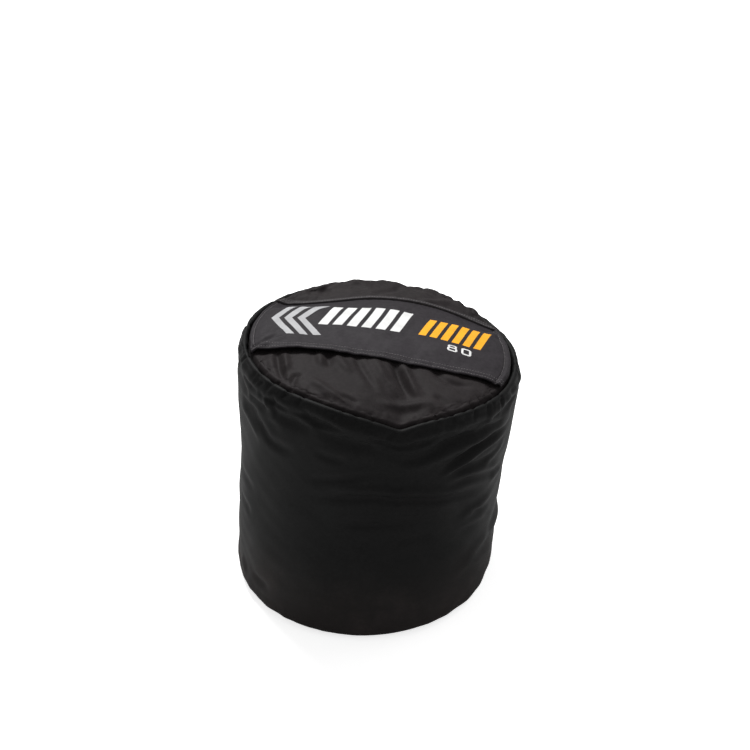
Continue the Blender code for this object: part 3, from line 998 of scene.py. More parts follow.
def weave_group() -> bpy.types.NodeTree:
    """A plain weave over the flat sheet: yarns that pass over and under each other.

    Returns:
        The group, which gives the height of the yarns.
    """
    inputs = [("Vector", VECTOR, None), ("Pitch", FLOAT, 0.0011), ("Slub", FLOAT, 0.3)]
    graph, given, made = new_tree("Plain weave", "ShaderNodeTree", inputs, [("Height", FLOAT)])
    parts = graph.node("ShaderNodeSeparateXYZ", Vector=given["Vector"]).outputs
    slub = graph.noise(given["Vector"], 260, 3)
    loose = graph.math("MULTIPLY", slub, given["Slub"])
    waves = []
    for axis in (0, 1):
        turn = graph.math("ADD", graph.math("DIVIDE", parts[axis], given["Pitch"]), loose)
        waves.append(graph.math("SINE", graph.math("MULTIPLY", turn, math.pi)))
    over = graph.math("ABSOLUTE", graph.math("MULTIPLY", *waves))
    raised = graph.math("MULTIPLY_ADD", over, 0.6, graph.math("MULTIPLY", slub, 0.4))
    graph.feed(made["Height"], raised)
    return graph.tree


def grime_and_bounce_group() -> bpy.types.NodeTree:
    """Patches of dust and scuffs, a drift of the dye, and painted bounce light near the floor.

    Returns:
        The group, which gives the dust with the painted bounce light, and the drift of the dye.
    """
    inputs = [("Vector", VECTOR, None), ("Amount", FLOAT, 0.5), ("Low", FLOAT, 0.0)]
    outputs = [("Dust_and_bounce", FLOAT), ("Drift", FLOAT)]
    graph, given, made = new_tree("Wear, dust and painted bounce light", "ShaderNodeTree", inputs, outputs)
    place = given["Vector"]
    broad, fine, scuff = (
        graph.between(graph.noise(place, scale, detail, rough), low, high)
        for scale, detail, rough, low, high in (
            (11, 5, 0.62, 0.46, 0.72),
            (420, 3, 0.7, 0.42, 0.68),
            (65, 6, 0.72, 0.56, 0.74),
        )
    )
    dust = graph.math("MULTIPLY", graph.math("MULTIPLY_ADD", broad, 0.75, 0.12), fine)
    dust = graph.math("MULTIPLY_ADD", scuff, 0.35, dust)
    height = graph.node("ShaderNodeSeparateXYZ", Vector=place).outputs[2]
    # Painted bounce light: near the floor the cloth lightens in patches towards the dust colour, by
    # Low, for light thrown up from the white floor.
    foot = graph.math("SUBTRACT", 1, graph.between(height, 0.0, 0.16))
    patchy = graph.math("MULTIPLY_ADD", broad, 0.5, 0.5)
    dust = graph.math("MULTIPLY_ADD", graph.math("MULTIPLY", foot, given["Low"]), patchy, dust)
    graph.feed(made["Dust_and_bounce"], graph.math("MULTIPLY", dust, given["Amount"]))
    mottle = graph.math("MULTIPLY", graph.noise(place, 170, 5, 0.65), 0.55)
    graph.feed(made["Drift"], graph.math("MULTIPLY_ADD", graph.noise(place, 6, 3), 0.45, mottle))
    return graph.tree


BAR_INPUTS = ("Left", "Right", "Low", "High", "Pitch", "Fill", "Slant", "Point")
LOOP_INPUTS = ("Across", "Up", "Width", "Height", "Stroke")


def mask_tree(name: str, labels: Sequence[str]) -> tuple[Graph, Sockets, list[Socket], Socket]:
    """Starts a group that turns a place on the flat cloth into a mask.

    Args:
        name: The group's name.
        labels: Its number inputs.

    Returns:
        The graph, the place's X, Y and Z, the inputs in their order, and the mask to link to.
    """
    inputs = [("Vector", VECTOR, None)] + [(label, FLOAT, 0.0) for label in labels]
    graph, given, made = new_tree(name, "ShaderNodeTree", inputs, [("Mask", FLOAT)])
    parts = graph.node("ShaderNodeSeparateXYZ", Vector=given["Vector"]).outputs
    return graph, parts, [given[label] for label in labels], made["Mask"]


def bars_group() -> bpy.types.NodeTree:
    """A block of slanted or pointed bars, for plain print on the flap.

    Returns:
        The group, which gives the mask.
    """
    graph, (across, up, _), inputs, mask = mask_tree("Printed bars", BAR_INPUTS)
    left, right, low, high, pitch, fill, slant, point = inputs
    middle = graph.math("MULTIPLY", graph.math("ADD", low, high), 0.5)
    bent = graph.math("MULTIPLY", graph.math("ABSOLUTE", graph.math("SUBTRACT", up, middle)), point)
    rise = graph.math("MULTIPLY", graph.math("SUBTRACT", up, low), graph.math("SUBTRACT", 1, point))
    run = graph.math("MULTIPLY", graph.math("ADD", rise, bent), slant)
    leaned = graph.math("SUBTRACT", across, run)
    saw = graph.math("FRACT", graph.math("DIVIDE", graph.math("SUBTRACT", leaned, left), pitch))
    blur, edge = 0.03, 0.0004
    end = graph.between(saw, fill, graph.math("SUBTRACT", fill, blur))
    bar = graph.math("MULTIPLY", graph.between(saw, 0.0, blur), end)
    for value, start, way in ((leaned, left, 1), (leaned, right, -1), (up, low, 1), (up, high, -1)):
        inside = graph.between(value, start, graph.math("ADD", start, edge * way))
        bar = graph.math("MULTIPLY", bar, inside)
    graph.feed(mask, bar)
    return graph.tree


def loop_group() -> bpy.types.NodeTree:
    """An upright rounded loop, the stroke of a printed 0 or half of a printed 8.

    Returns:
        The group, which gives the mask.
    """
    graph, parts, inputs, mask = mask_tree("Printed loop", LOOP_INPUTS)
    across, up, width, height, stroke = inputs
    corner = graph.math("MULTIPLY", width, 0.3)
    squares = []
    for value, middle, size in ((parts[0], across, width), (parts[1], up, height)):
        half = graph.math("SUBTRACT", graph.math("MULTIPLY", size, 0.5), corner)
        away = graph.math("ABSOLUTE", graph.math("SUBTRACT", value, middle))
        side = graph.math("MAXIMUM", graph.math("SUBTRACT", away, half), 0)
        squares.append(graph.math("MULTIPLY", side, side))
    half = graph.math("MULTIPLY", stroke, 0.5)
    away = graph.math("SQRT", graph.math("ADD", *squares))
    off = graph.math("ABSOLUTE", graph.math("SUBTRACT", away, graph.math("SUBTRACT", corner, half)))
    graph.feed(mask, graph.between(off, half, graph.math("SUBTRACT", half, 0.0003)))
    return graph.tree


@dataclass(frozen=True)
class Finish:
    """How a cloth or a hard piece looks.

    The colour is linear; sheen and weave are 0 where the piece has none. The weave sets how much
    painted shade darkens the dips between the yarns, and the foot term adds painted bounce light
    near the floor, mixed in as dust.
    """

    colour: tuple[float, float, float]
    roughness: float
    dust: float
    weave: float = 0.0
    pitch: float = 0.0011
    bump: float = 0.00012
    sheen: float = 0.0
    sheen_roughness: float = 0.4
    foot_bounce_light: float = 0.0
    metallic: float = 0.0
    coat: float = 0.0
    dust_colour: tuple[float, float, float] = (0.100, 0.080, 0.076)
    is_cloth: bool = True


FINISHES = {
    # Partly the wall's own darker cloth and partly painted shade: its colour is kept below the
    # top's for the weaker light on its upright sides, and its foot term paints bounce light from
    # the floor.
    Slot.WALL: Finish((0.0072, 0.0073, 0.0073), 0.60, 0.05, 0.35, 0.0013, 0.0001, foot_bounce_light=6.0),
    Slot.TOP: Finish((0.0185, 0.0150, 0.0156), 0.66, 0.06, 0.35, 0.0013, 0.0001, 0.02),
    Slot.FLAP: Finish((0.0262, 0.0228, 0.0262), 0.60, 0.05, 0.30, 0.0012, 0.00008, 0.02),
    Slot.BINDING: Finish((0.048, 0.044, 0.045), 0.66, 0.15, 0.5, 0.0016, 0.00015, 0.1),
    Slot.HOOKS: Finish((0.018, 0.018, 0.019), 0.45, 0.1, 0.2, 0.0008, 0.0001),
    Slot.LOOPS: Finish((0.024, 0.024, 0.025), 0.9, 0.3, 0.4, 0.0006, 0.0002, 0.3, 0.5),
    Slot.ZIP_TAPE: Finish((0.016, 0.016, 0.017), 0.75, 0.15, 0.5, 0.0008, 0.00012, 0.05),
    Slot.TEETH: Finish((0.022, 0.022, 0.023), 0.32, 0.2, bump=0.00002, coat=0.2, is_cloth=False),
    Slot.METAL: Finish(
        (0.060, 0.060, 0.062), 0.34, 0.25, bump=0.00003, metallic=0.9, is_cloth=False
    ),
    Slot.LINER: Finish((0.42, 0.42, 0.40), 0.42, 0.2, 0.5, 0.002, 0.0001, coat=0.1, is_cloth=False),
    Slot.TIE: Finish((0.03, 0.03, 0.03), 0.5, 0.2, 0.3, 0.001, is_cloth=False),
    Slot.SAND: Finish(
        (0.47, 0.36, 0.22), 0.92, 0.5, bump=0.0006, dust_colour=(0.62, 0.5, 0.34), is_cloth=False
    ),
    Extra.THREAD: Finish((0.13, 0.12, 0.123), 0.6, 0.2, bump=0.00003, is_cloth=False),
    # Painted highlight: the lap is the rear panel's top cloth folded over, painted lighter for the
    # light its rolled edge catches.
    Extra.LAP: Finish((0.040, 0.036, 0.038), 0.62, 0.08, 0.35, 0.0013, 0.0001, 0.02),
}

# The plain print: each ink's colour, its blocks of bars and its loops, by the inputs of their
# groups and in metres on the flat band.
PRINTS = (
    ((0.46, 0.46, 0.47), [(-0.168, -0.110, -0.030, 0.070, 0.0195, 0.62, 0.62, 1.0)], []),
    (
        (0.80, 0.80, 0.79),
        [(-0.096, 0.030, 0.002, 0.064, 0.0212, 0.70, 0.26, 0.0)],
        [
            (0.1040, -0.0196, 0.0155, 0.0118, 0.0034),
            (0.1040, -0.0110, 0.0138, 0.0108, 0.0033),
            (0.1250, -0.0153, 0.0155, 0.0204, 0.0036),
        ],
    ),
    ((1.0, 0.45, 0.025), [(0.052, 0.150, 0.004, 0.060, 0.0165, 0.68, 0.26, 0.0)], []),
)


class Workshop:
    """Paints the pieces, lays their stitches and ties them to the frame."""

    def __init__(self) -> None:
        """Builds the shared node groups and the two trees of repeated shapes."""
        self.weave, self.grime_and_bounce = weave_group(), grime_and_bounce_group()
        self.bars, self.loop = bars_group(), loop_group()
        self.beads, self.pile = Beads(), Pile()
        self.made: dict[Slot | Extra, bpy.types.Material] = {}

    def paint(self, key: Slot | Extra) -> bpy.types.Material:
        """The material of a finish, which is made when it is first asked for.

        Args:
            key: The slot or the extra finish.

        Returns:
            The material.
        """
        if key not in self.made:
            self.made[key] = self.mixed(key.value, FINISHES[key], key is Slot.FLAP)
        return self.made[key]

    def mixed(self, name: str, look: Finish, printed: bool) -> bpy.types.Material:
        """Builds a material.

        Args:
            name: The material's name.
            look: Its finish.
            printed: True for the cloth that carries the plain print.

        Returns:
            The material.
        """
        material = bpy.data.materials.new(name)
        material.use_nodes = True
        graph = Graph(material.node_tree)
        solid = graph.node("ShaderNodeTexCoord").outputs["Object"]
        flat = graph.out("ShaderNodeUVMap", {"uv_map": "plan"}) if look.is_cloth else solid
        grime_and_bounce = graph.group(self.grime_and_bounce, Vector=solid, Amount=look.dust, Low=look.foot_bounce_light)
        raised = graph.group(self.weave, Vector=flat, Pitch=look.pitch)["Height"]
        shades = (0.76, 1.26, 0.35)
        dark, light, shade = ((*(part * by for part in look.colour), 1) for by in shades)
        colour = graph.blend(graph.between(grime_and_bounce["Drift"], 0.36, 0.64), dark, light)
        # Painted shade: the colour darkens towards the shade tone in the dips between the weave's
        # yarns, by the finish's weave amount.
        painted_weave_shade = graph.math("MULTIPLY", graph.math("SUBTRACT", 1, raised), look.weave)
        colour = graph.blend(painted_weave_shade, colour, shade)
        # The dust, and on the wall painted bounce light near the floor, pull the colour towards the
        # dust colour.
        colour = graph.blend(grime_and_bounce["Dust_and_bounce"], colour, (*look.dust_colour, 1))
        rough = graph.math("MULTIPLY_ADD", grime_and_bounce["Dust_and_bounce"], 0.3, look.roughness)
        if printed:
            colour, rough = self.print_over(graph, flat, colour, rough)
        height = graph.math("ADD", raised, graph.noise(solid, 900, 3))
        bump = graph.out("ShaderNodeBump", Distance=look.bump, Strength=0.8, Height=height)
        graph.fill(
            graph.tree.nodes["Principled BSDF"],
            Base_Color=colour,
            Roughness=rough,
            Metallic=look.metallic,
            Sheen_Weight=look.sheen,
            Sheen_Roughness=look.sheen_roughness,
            Coat_Weight=look.coat,
            Specular_IOR_Level=0.11 if look.is_cloth else 0.5,
            Normal=bump,
        )
        return material

    def print_over(
        self, graph: Graph, flat: Socket, colour: Socket, rough: Socket
    ) -> tuple[Socket, Socket]:
        """Lays the plain print of bars and the number 80 over the flap's cloth.

        Args:
            graph: The material's graph.
            flat: The place on the flat cloth.
            colour: The cloth's colour.
            rough: The cloth's roughness.

        Returns:
            The colour and the roughness with the print.
        """
        cracks = graph.between(graph.noise(flat, 700, 5, 0.75), 0.60, 0.74)
        rubbed = graph.between(graph.noise(flat, 40, 4), 0.35, 0.7)
        rub = graph.math("MULTIPLY_ADD", rubbed, -0.14, 0.97)
        worn = graph.math("MULTIPLY", graph.math("SUBTRACT", 1, cracks), rub)
        for ink, blocks, loops in PRINTS:
            mask: Socket | float = 0.0
            kinds = (self.bars, BAR_INPUTS, blocks), (self.loop, LOOP_INPUTS, loops)
            for tree, labels, rows in kinds:
                for row in rows:
                    stroke = graph.group(tree, Vector=flat, **dict(zip(labels, row)))[0]
                    mask = graph.math("MAXIMUM", stroke, mask)
            mask = graph.math("MULTIPLY", mask, worn)
            colour = graph.blend(mask, colour, (*ink, 1))
            rough = graph.math("MULTIPLY_ADD", mask, -0.12, rough)
        return colour, rough

    def cover(
        self,
        obj: Object,
        slot: Slot,
        *nodes: str,
        body: Body | None = Body.BAG,
        paint: Extra | None = None,
    ) -> Object:
        """Paints a piece, lets it ride on a body and stand for its CAD nodes.

        Args:
            obj: The piece.
            slot: Its material slot.
            nodes: The CAD nodes that it replaces.
            body: The body that it rides on, or None for a piece that rides on none.
            paint: Its finish where that isn't its slot's own.

        Returns:
            The piece.
        """
        if not obj.data.materials:
            obj.data.materials.append(self.paint(paint or slot))
        if body:
            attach(obj, body.value)
        if nodes:
            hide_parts(*nodes)
        return obj

    def stitches(self, name: str, lines: Sequence[Grid], seed: int, kind: Stitch) -> Object:
        """Rows of stitches.

        Args:
            name: The piece's name.
            lines: The points of each row.
            seed: Picks one unevenness.
            kind: The kind of stitch.

        Returns:
            The piece, which rides on nothing yet.
        """
        pitch, size = kind.value
        look = {"Jitter": 0.15, "Seed": seed, "Material": self.paint(Extra.THREAD)}
        return self.beads.lay(name, line_mesh(lines), Pitch=pitch, Size=size, **look)


# ---- folds ----

# Each fold: height and width in millimetres, how much of its height is left at its first and its
# last end, and its path. A path's pairs are millimetres along and across the flap.
MILLIMETRES = (0.001, 0.001)
FRONT_FOLDS = (
    (-3, 5.5, 1, 0.3, -141, -80, -130, -120, -119, -154),
    (2.6, 5.5, 1, 0, -129, -83, -119, -126),
    (-2.8, 5, 0.6, 0, -110, -153, -107, -131, -98, -124),
    (3, 7, 0, 0, -93, -132, -61, -158, -31, -177, -10, -175),
    (-2.8, 5, 0, 0, -47, -161, -10, -177),
    (2.4, 6, 1, 0, -84, -62, -79, -85, -74, -109),
    (-2.4, 5.5, 1, 0, -70, -62, -68, -90, -61, -113),
    (2.4, 6.5, 1, 0, -58, -66, -45, -98, -26, -116),
    (-2.6, 5.5, 1, 0, -33, -62, -22, -92, -4, -124, 10, -150),
    (2.6, 6.5, 1, 0, -8, -62, 9, -100, 30, -130, 44, -152),
    (-4.2, 6, 1, 0, 20, -60, 34, -95, 46, -120, 56, -142),
    (3, 6.5, 1, 0, 36, -62, 46, -96, 61, -127, 76, -145),
    (-2.8, 6, 1, 0, 80, -62, 90, -84, 110, -96, 147, -92),
    (2.6, 7, 0, 0, 2, -165, 30, -160, 57, -151, 100, -141),
    (-2.2, 6, 0, 0, 113, -149, 100, -138, 86, -126),
)
REAR_FOLDS = (
    (2.6, 8, 0, 0, -119, 152, -88, 172, -66, 172),
    (2.6, 8, 0.6, 0, -72, 173, -42, 151, -25, 145),
    (-2.6, 7, 0, 0, -135, 122, -112, 127, -87, 130),
    (-3, 8, 0, 0, 6, 174, 52, 165, 86, 150, 112, 132),
    (2.4, 8, 0, 0, 40, 186, 78, 170, 108, 155),
    (-2.8, 7, 0, 0, 94, 148, 110, 158, 122, 152),
    (2.6, 8, 0, 0, 118, 138, 134, 128, 146, 116),
    (-2, 7, 1, 0, -20, 128, 6, 146, 16, 168),
    (1.9, 7, 1, 0, 54, 116, 82, 130, 90, 146),
)
FLAP_FOLDS = (
    (-2.6, 6, 0.8, 0, -186, -66, -172, -56, -155, -40, -142, -22),
    (2.2, 6.5, 1, 0, -172, -70, -160, -58, -130, -40),
    (2.4, 9, 1, 0, 172, 86, 166, 70, 158, 56),
    (-2.2, 7, 1, 0, 158, 94, 152, 82, 146, 70),
    (1.4, 16, 0, 0, -175, 30, -120, 50, -80, 46),
    (-1.2, 14, 0, 0, -70, -20, -20, -34, 30, -30),
    (1.2, 16, 0, 0, 50, -30, 100, -20, 150, -30),
    (-1.1, 15, 0, 0, 20, 80, 60, 60, 110, 66),
    (1, 15, 0, 0, -60, 84, -10, 70, 30, 76),
)

# The wall's folds leave out the ends, which are both 0. Their pairs are degrees round the bag and
# hundredths of the rim's height.
WALL_FOLDS = (
    (-3.6, 8, -92, 88, -82, 92, -74, 88, -66, 86, -56, 91, -43, 91, -24, 89),
    (1.6, 10, -112, 99, -96, 96.5, -77, 97.5, -62, 95.5, -45, 95),
    (3.2, 8, -28, 88.5, -39, 88, -53, 86, -66, 83.5, -76, 83),
    (2.4, 5, -14, 64, -30, 70, -46, 73.5, -58, 73),
    (-2.6, 5, -16, 60, -32, 66.5, -46, 70, -57, 70),
    (3.3, 4.6, -62, 73.5, -54, 77.5, -45, 80.5, -33, 82.5, -17, 81.5),
    (-3.9, 5, -62, 76.5, -54, 80.5, -45, 83.5, -33, 85.5, -17, 84.5),
    (-4, 6, -56, 74.5, -47, 76.5, -32, 74.5, -22, 78),
    (-1.9, 5, -115, 68, -99, 73, -81, 81, -69, 77),
    (-3.2, 7, -115, 61, -92, 67, -80, 70, -67, 67, -56, 64, -43, 62, -27, 59),
    (2.4, 8, -113, 65, -92, 71, -80, 74, -67, 71, -56, 68, -43, 66, -27, 63),
    (-2.4, 6.5, -99, 53, -83, 57, -73, 58, -66, 55),
    (-2, 6, -78, 46, -70, 49, -63, 48, -57, 44),
    (-2, 6, -110, 82, -102, 81, -95, 82),
    (-2.4, 7, -147, 86, -136, 82, -130, 77, -115, 79),
    (2, 7, -158, 82, -145, 80, -135, 74),
    (-2.2, 7, -169, 49, -149, 52, -141, 51),
    (-2, 7, -161, 40, -143, 40),
    (2.4, 8, -160, 10, -153, 10, -149, 7),
    (-2.4, 7, -144, 12, -128, 13),
    (-2.2, 13, 28, 36, 10, 37, -8, 37, -18, 34, -23, 28, -33, 26),
    (2.2, 11, 16, 31, -6, 32, -19, 32, -33, 31, -40, 25, -50, 22),
    (-2, 5, -19, 41, -35, 51, -51, 60),
    (2.4, 12, -7, 18, -37, 27, -46, 23),
    (2, 7, -19, 77, -30, 75, -37, 73),
    (1.8, 7, -13, 61, -28, 62),
    (1.9, 7, -17, 53, -31, 53, -43, 51, -52, 51),
    (1.8, 7, -20, 45, -34, 47, -49, 49),
    (-1.8, 4.5, -131, 100, -129, 93, -127, 88),
    (1.7, 4.5, -136, 98, -133, 92, -131, 88),
    (-1.6, 4, -114, 99, -113, 93),
    (-1.6, 4, -51, 99, -45, 97, -39, 95),
    (-2.4, 8, 5, 83, 22, 86, 40, 81, 61, 84),
    (-2.2, 7, 1, 55, 18, 60, 35, 57),
    (-2.2, 8, 30, 36, 48, 40, 66, 37),
    (2.2, 9, 12, 24, 30, 21, 44, 25),
    (-2.4, 8, -262, 79, -240, 84, -221, 80, -204, 83),
    (-2.2, 7, -255, 58, -236, 62, -218, 59),
    (2, 8, -252, 31, -233, 34, -216, 30),
    (-2, 7, -214, 42, -198, 46, -184, 44),
    (-1.8, 7, -196, 66, -184, 69, -172, 67),
)

# Each pinch of the rim seam: degrees round the seam, and its depth, width and reach in millimetres.
PINCHES = (
    (-132.5, 2.6, 2.6, 11),
    (-124, 3.2, 2.4, 8),
    (-116.5, 2.4, 2.2, 9),
    (-99, 1.6, 2, 6),
    (-87.5, 1.8, 2.2, 6),
    (-61.5, 2.2, 2.2, 7),
    (-54.5, 3, 2.4, 9),
    (-44, 3.4, 2.6, 10),
    (-36.5, 3.4, 2.8, 12),
    (-27, 2.4, 2.4, 9),
    (40, 1.8, 3, 9),
    (62, 1.2, 2.8, 8),
    (118, 0.8, 3, 9),
    (151, 0.8, 3, 8),
    (176, 1.4, 2.8, 9),
)


def rounded(path: Grid) -> Grid:
    """Cuts the corners of a line twice so that it bends softly, and keeps its ends.

    Args:
        path: Its points, one pair to a row.

    Returns:
        The finer line.
    """
    for _ in range(2):
        near, far = 0.75 * path[:-1] + 0.25 * path[1:], 0.25 * path[:-1] + 0.75 * path[1:]
        inner = np.stack([near, far], 1).reshape(-1, 2)
        path = np.concatenate([path[:1], inner[1:-1], path[-1:]])
    return path


FOLD_END = 0.35  # the share of a fold's length over which an end fades


def fold_lift(rows: Sequence[tuple[float, ...]], steps: Pair, u: Grid, v: Grid) -> Grid:
    """How far a table of folds lifts the cloth.

    Args:
        rows: The folds; one with a negative height is a valley.
        steps: What 1 is in metres for a path's first and second numbers.
        u: First coordinate of each place in the cloth's plan, in metres.
        v: Second coordinate of each place.

    Returns:
        The lift at each place, in metres.
    """
    total = np.zeros(u.shape)
    for height, width, first, last, *path in rows:
        line = rounded(np.reshape(path, (-1, 2)) * steps)
        moves = np.diff(line, axis=0)
        lengths = np.linalg.norm(moves, axis=1)
        runs = np.concatenate([[0], np.cumsum(lengths)])
        best, along = np.full(u.shape, np.inf), np.zeros(u.shape)
        for (x, y), (dx, dy), length, run in zip(line, moves, lengths, runs):
            share = np.clip(((u - x) * dx + (v - y) * dy) / length**2, 0, 1)
            away = (u - x - share * dx) ** 2 + (v - y - share * dy) ** 2
            along = np.where(away < best, (run + share * length) / runs[-1], along)
            best = np.minimum(away, best)
        reach = best / (width / 1000) ** 2
        taper = mix(first, 1, smooth(along / FOLD_END))
        taper = taper * mix(last, 1, smooth((1 - along) / FOLD_END))
        total += height / 1000 * taper * (1 - reach / 2) * np.exp(-reach / 2)
    return total


# ---- the sewn cloth of the bag ----


def rings(rows: Sequence[tuple[Grid, Grid]], columns: int) -> tuple[Grid, Grid]:
    """The radii and the heights of rows, where each is one number or one for each column."""
    sides = zip(*rows)
    return tuple(np.array([np.broadcast_to(part, columns) for part in side]) for side in sides)


def joined(*parts: Grid) -> Grid:
    """Points or a plan from their coordinates."""
    return np.stack(np.broadcast_arrays(*parts), -1)


def top_sheet(x: Grid, y: Grid, z: Grid) -> Cloth:
    """A sheet over the top, from its places and heights on the upright bag."""
    return Cloth(FORM.settle(x, y, z), joined(x, y))


@dataclass(frozen=True)
class Panel:
    """One of the two panels of the top.

    The side is -1 in front of the mouth and 1 behind it. Near the mouth the flap covers the panel:
    there the cloth is held while it drapes, the folds fade out, and puckers stop at the edge.
    """

    name: str
    node: str
    side: int
    folds: tuple[tuple[float, ...], ...]
    fade: Span
    edge: float
    held: Span
    pucker: Ripple
    uneven: tuple[Ripple, ...]


PANELS = (
    Panel(
        "front_top", "top_front_panel", side=-1, folds=FRONT_FOLDS, fade=(-0.056, -0.036),
        edge=0.060, held=(-0.060, 0.01), pucker=(0.0007, 0.024, 30),
        uneven=((0.0006, 0.05, 40), (0.0002, 0.022, 44)),
    ),
    Panel(
        "rear_top", "top_back_panel", side=1, folds=REAR_FOLDS, fade=(0.104, 0.010),
        edge=0.108, held=(0.108, -0.01), pucker=(0.0012, 0.034, 32),
        uneven=((0.0006, 0.05, 42), (0.0002, 0.022, 44)),
    ),
)


@dataclass
class Bag:
    """The sewn drum: wall, base, panels of the top and their seams.

    The lip is the wall's edge at the rim seam, as offsets from the seam's radius and heights over
    the rim. The fades are where the wall's folds die out below the rim and above the base. Wander
    is how the tucks stray along the seam. The puffs are humps inside the seam, behind and in front.
    """

    shop: Workshop
    columns: int = 400
    body_rows: int = 92
    filled: float = 0.95
    thickness: float = 0.0024
    binding: float = 0.0016
    tape: float = 0.0012
    lip: tuple[Pair, ...] = (
        (0.0060, -0.0400), (0.0067, -0.0240), (0.0067, -0.0120), (0.0057, -0.0042),
        (0.0034, 0.0006), (0.0002, 0.0022), (-0.0026, 0.0012), (-0.0044, -0.0022),
        (-0.0052, -0.0060), (-0.0054, -0.0130),
    )
    rim_fade: Span = (0.001, 0.018)
    foot_fade: Span = (0.004, 0.030)
    wall_folds: float = 1.15
    wall_ripples: tuple[Ripple, ...] = ((0.0010, 0.11, 11), (0.0003, 0.038, 12))
    rim_ripples: tuple[Ripple, ...] = ((0.0007, 0.027, 13), (0.0003, 0.013, 15))
    rim_zone: Zone = Zone(0.010, 0.014, -0.002, 0.006)
    foot_ripple: Ripple = (0.0006, 0.026, 14)
    foot_zone: Zone = Zone(0.016, 0.018, 0.002, 0.008)
    wall_tucks: Tucks = Tucks(64, 17, 0.0024, Zone(0.0, 0.009, -0.004, 0.004), slant=0.25)
    deep_tucks: Tucks = Tucks(18, 19, 0.0026, Zone(0.004, 0.013, 0.0, 0.004), slant=0.6)
    wall_wander: Ripple = (0.004, 0.06, 16)
    pinch_slant: float = 0.35
    panel_folds: float = 1.5
    panel_tucks: Tucks = Tucks(44, 35, 0.0020, Zone(0.0, 0.016, 0.0, 0.003))
    panel_wander: Ripple = (0.004, 0.05, 33)
    pucker_zone: Zone = Zone(0.012, 0.010, 0.0, 0.006)
    pinch_inset: float = 0.003
    groove_radius: float = 0.1938
    groove_depth: float = 0.0128
    groove_reach: float = 0.0054
    puffs: tuple[tuple[Hump, Span], ...] = (
        ((0.0078, 0.017, 0.013), (0.085, 0.05)), ((0.0010, 0.010, 0.010), (-0.070, -0.03)),
    )
    rear_dip: float = 0.0052
    mouth: float = 0.018
    wall_cloth: Cloth | None = field(default=None, repr=False)

    def build(self) -> list[Object]:
        """Makes every piece of the sewn drum."""
        pieces = [self.wall(), *self.base(), *self.webbing(), self.rim_tape()]
        return pieces + [self.panel(kind) for kind in PANELS] + [self.mouth_stitches()]

    def wall(self) -> Object:
        """The drum's wall, from under its base corner to the lip at the rim seam.

        Returns:
            The piece.
        """
        angles = turns(self.columns)
        level = FORM.rim_level(angles)
        tuck, lift, corner = 0.010, 0.0001, FORM.base_corner
        rows = []
        for t in np.linspace(-0.5, 1, 10):
            turn = max(t, 0) * math.pi / 2
            radius = FORM.base_radius + corner * math.sin(turn) + min(t, 0) * tuck
            rows.append((radius, corner * (1 - math.cos(turn)) + lift))
        for share in np.linspace(0.060, 0.885, self.body_rows):
            height = mix(corner, level + self.lip[0][1], (share - 0.05) / 0.85)
            rows.append((FORM.wall_radius(share), height))
        low = self.rear_dip * ramp(np.sin(angles), 0.25, 0.45)
        for offset, drop in curve_through(self.lip, 26):
            rows.append((FORM.seam_radius + offset, level + drop - low * ramp(drop, -0.02, 0.02)))
        r, z = rings(rows, self.columns)
        points = FORM.ring(r, angles, z)
        up = np.cumsum(np.linalg.norm(np.diff(points, axis=0), axis=-1).mean(1))
        plan = joined(FORM.seam_radius * angles, np.concatenate([[0], up])[:, None])
        cloth = self.wall_cloth = Cloth(points, plan, GIRTH)
        below = level - z
        held = ramp(below, 0.012, -0.006) + ramp(z, 0.012, -0.006)
        Drape(rows=58, columns=200).relax(cloth, held)
        self.fold_wall(cloth, angles, z, below)
        obj = cloth.shell("drum_wall", self.thickness)
        return self.shop.cover(obj, Slot.WALL, "side_wall")

    def fold_wall(self, cloth: Cloth, angles: Grid, z: Grid, below: Grid) -> None:
        """Lays the folds, the soft unevenness and the puckers of both seams into the wall.

        Args:
            cloth: The wall.
            angles: The direction of each column.
            z: The height of each point on the upright bag.
            below: How far each point lies under the rim.
        """
        run = FORM.seam_radius * angles
        u, v = np.broadcast_arrays(run, z / FORM.rim_level(angles) * FORM.rim_height)
        calm = ramp(below, *self.rim_fade) * ramp(z, *self.foot_fade)
        steps = FORM.seam_radius * math.radians(1), FORM.rim_height / 100
        rows = [(height, width, 0, 0, *path) for height, width, *path in WALL_FOLDS]
        lift = self.wall_folds * fold_lift(rows, steps, u, v) * calm
        lift += ripples(cloth.points, *self.wall_ripples) * calm
        flat = cloth.points * (1, 1, 0.3)
        lift += ripples(flat, *self.rim_ripples) * self.rim_zone.over(below)
        lift += ripples(flat, self.foot_ripple) * self.foot_zone.over(z)
        tucks = self.wall_tucks.at(run + ripples(flat, self.wall_wander), below)
        tucks += self.deep_tucks.at(run, below)
        lift -= tucks * (1 + 5 * ramp(np.sin(angles), 0.35, -0.5)) / 6
        pinches = seam_pinches(run + self.pinch_slant * below, below)
        cloth.push(lift - pinches * ramp(below, -0.004, 0.004))

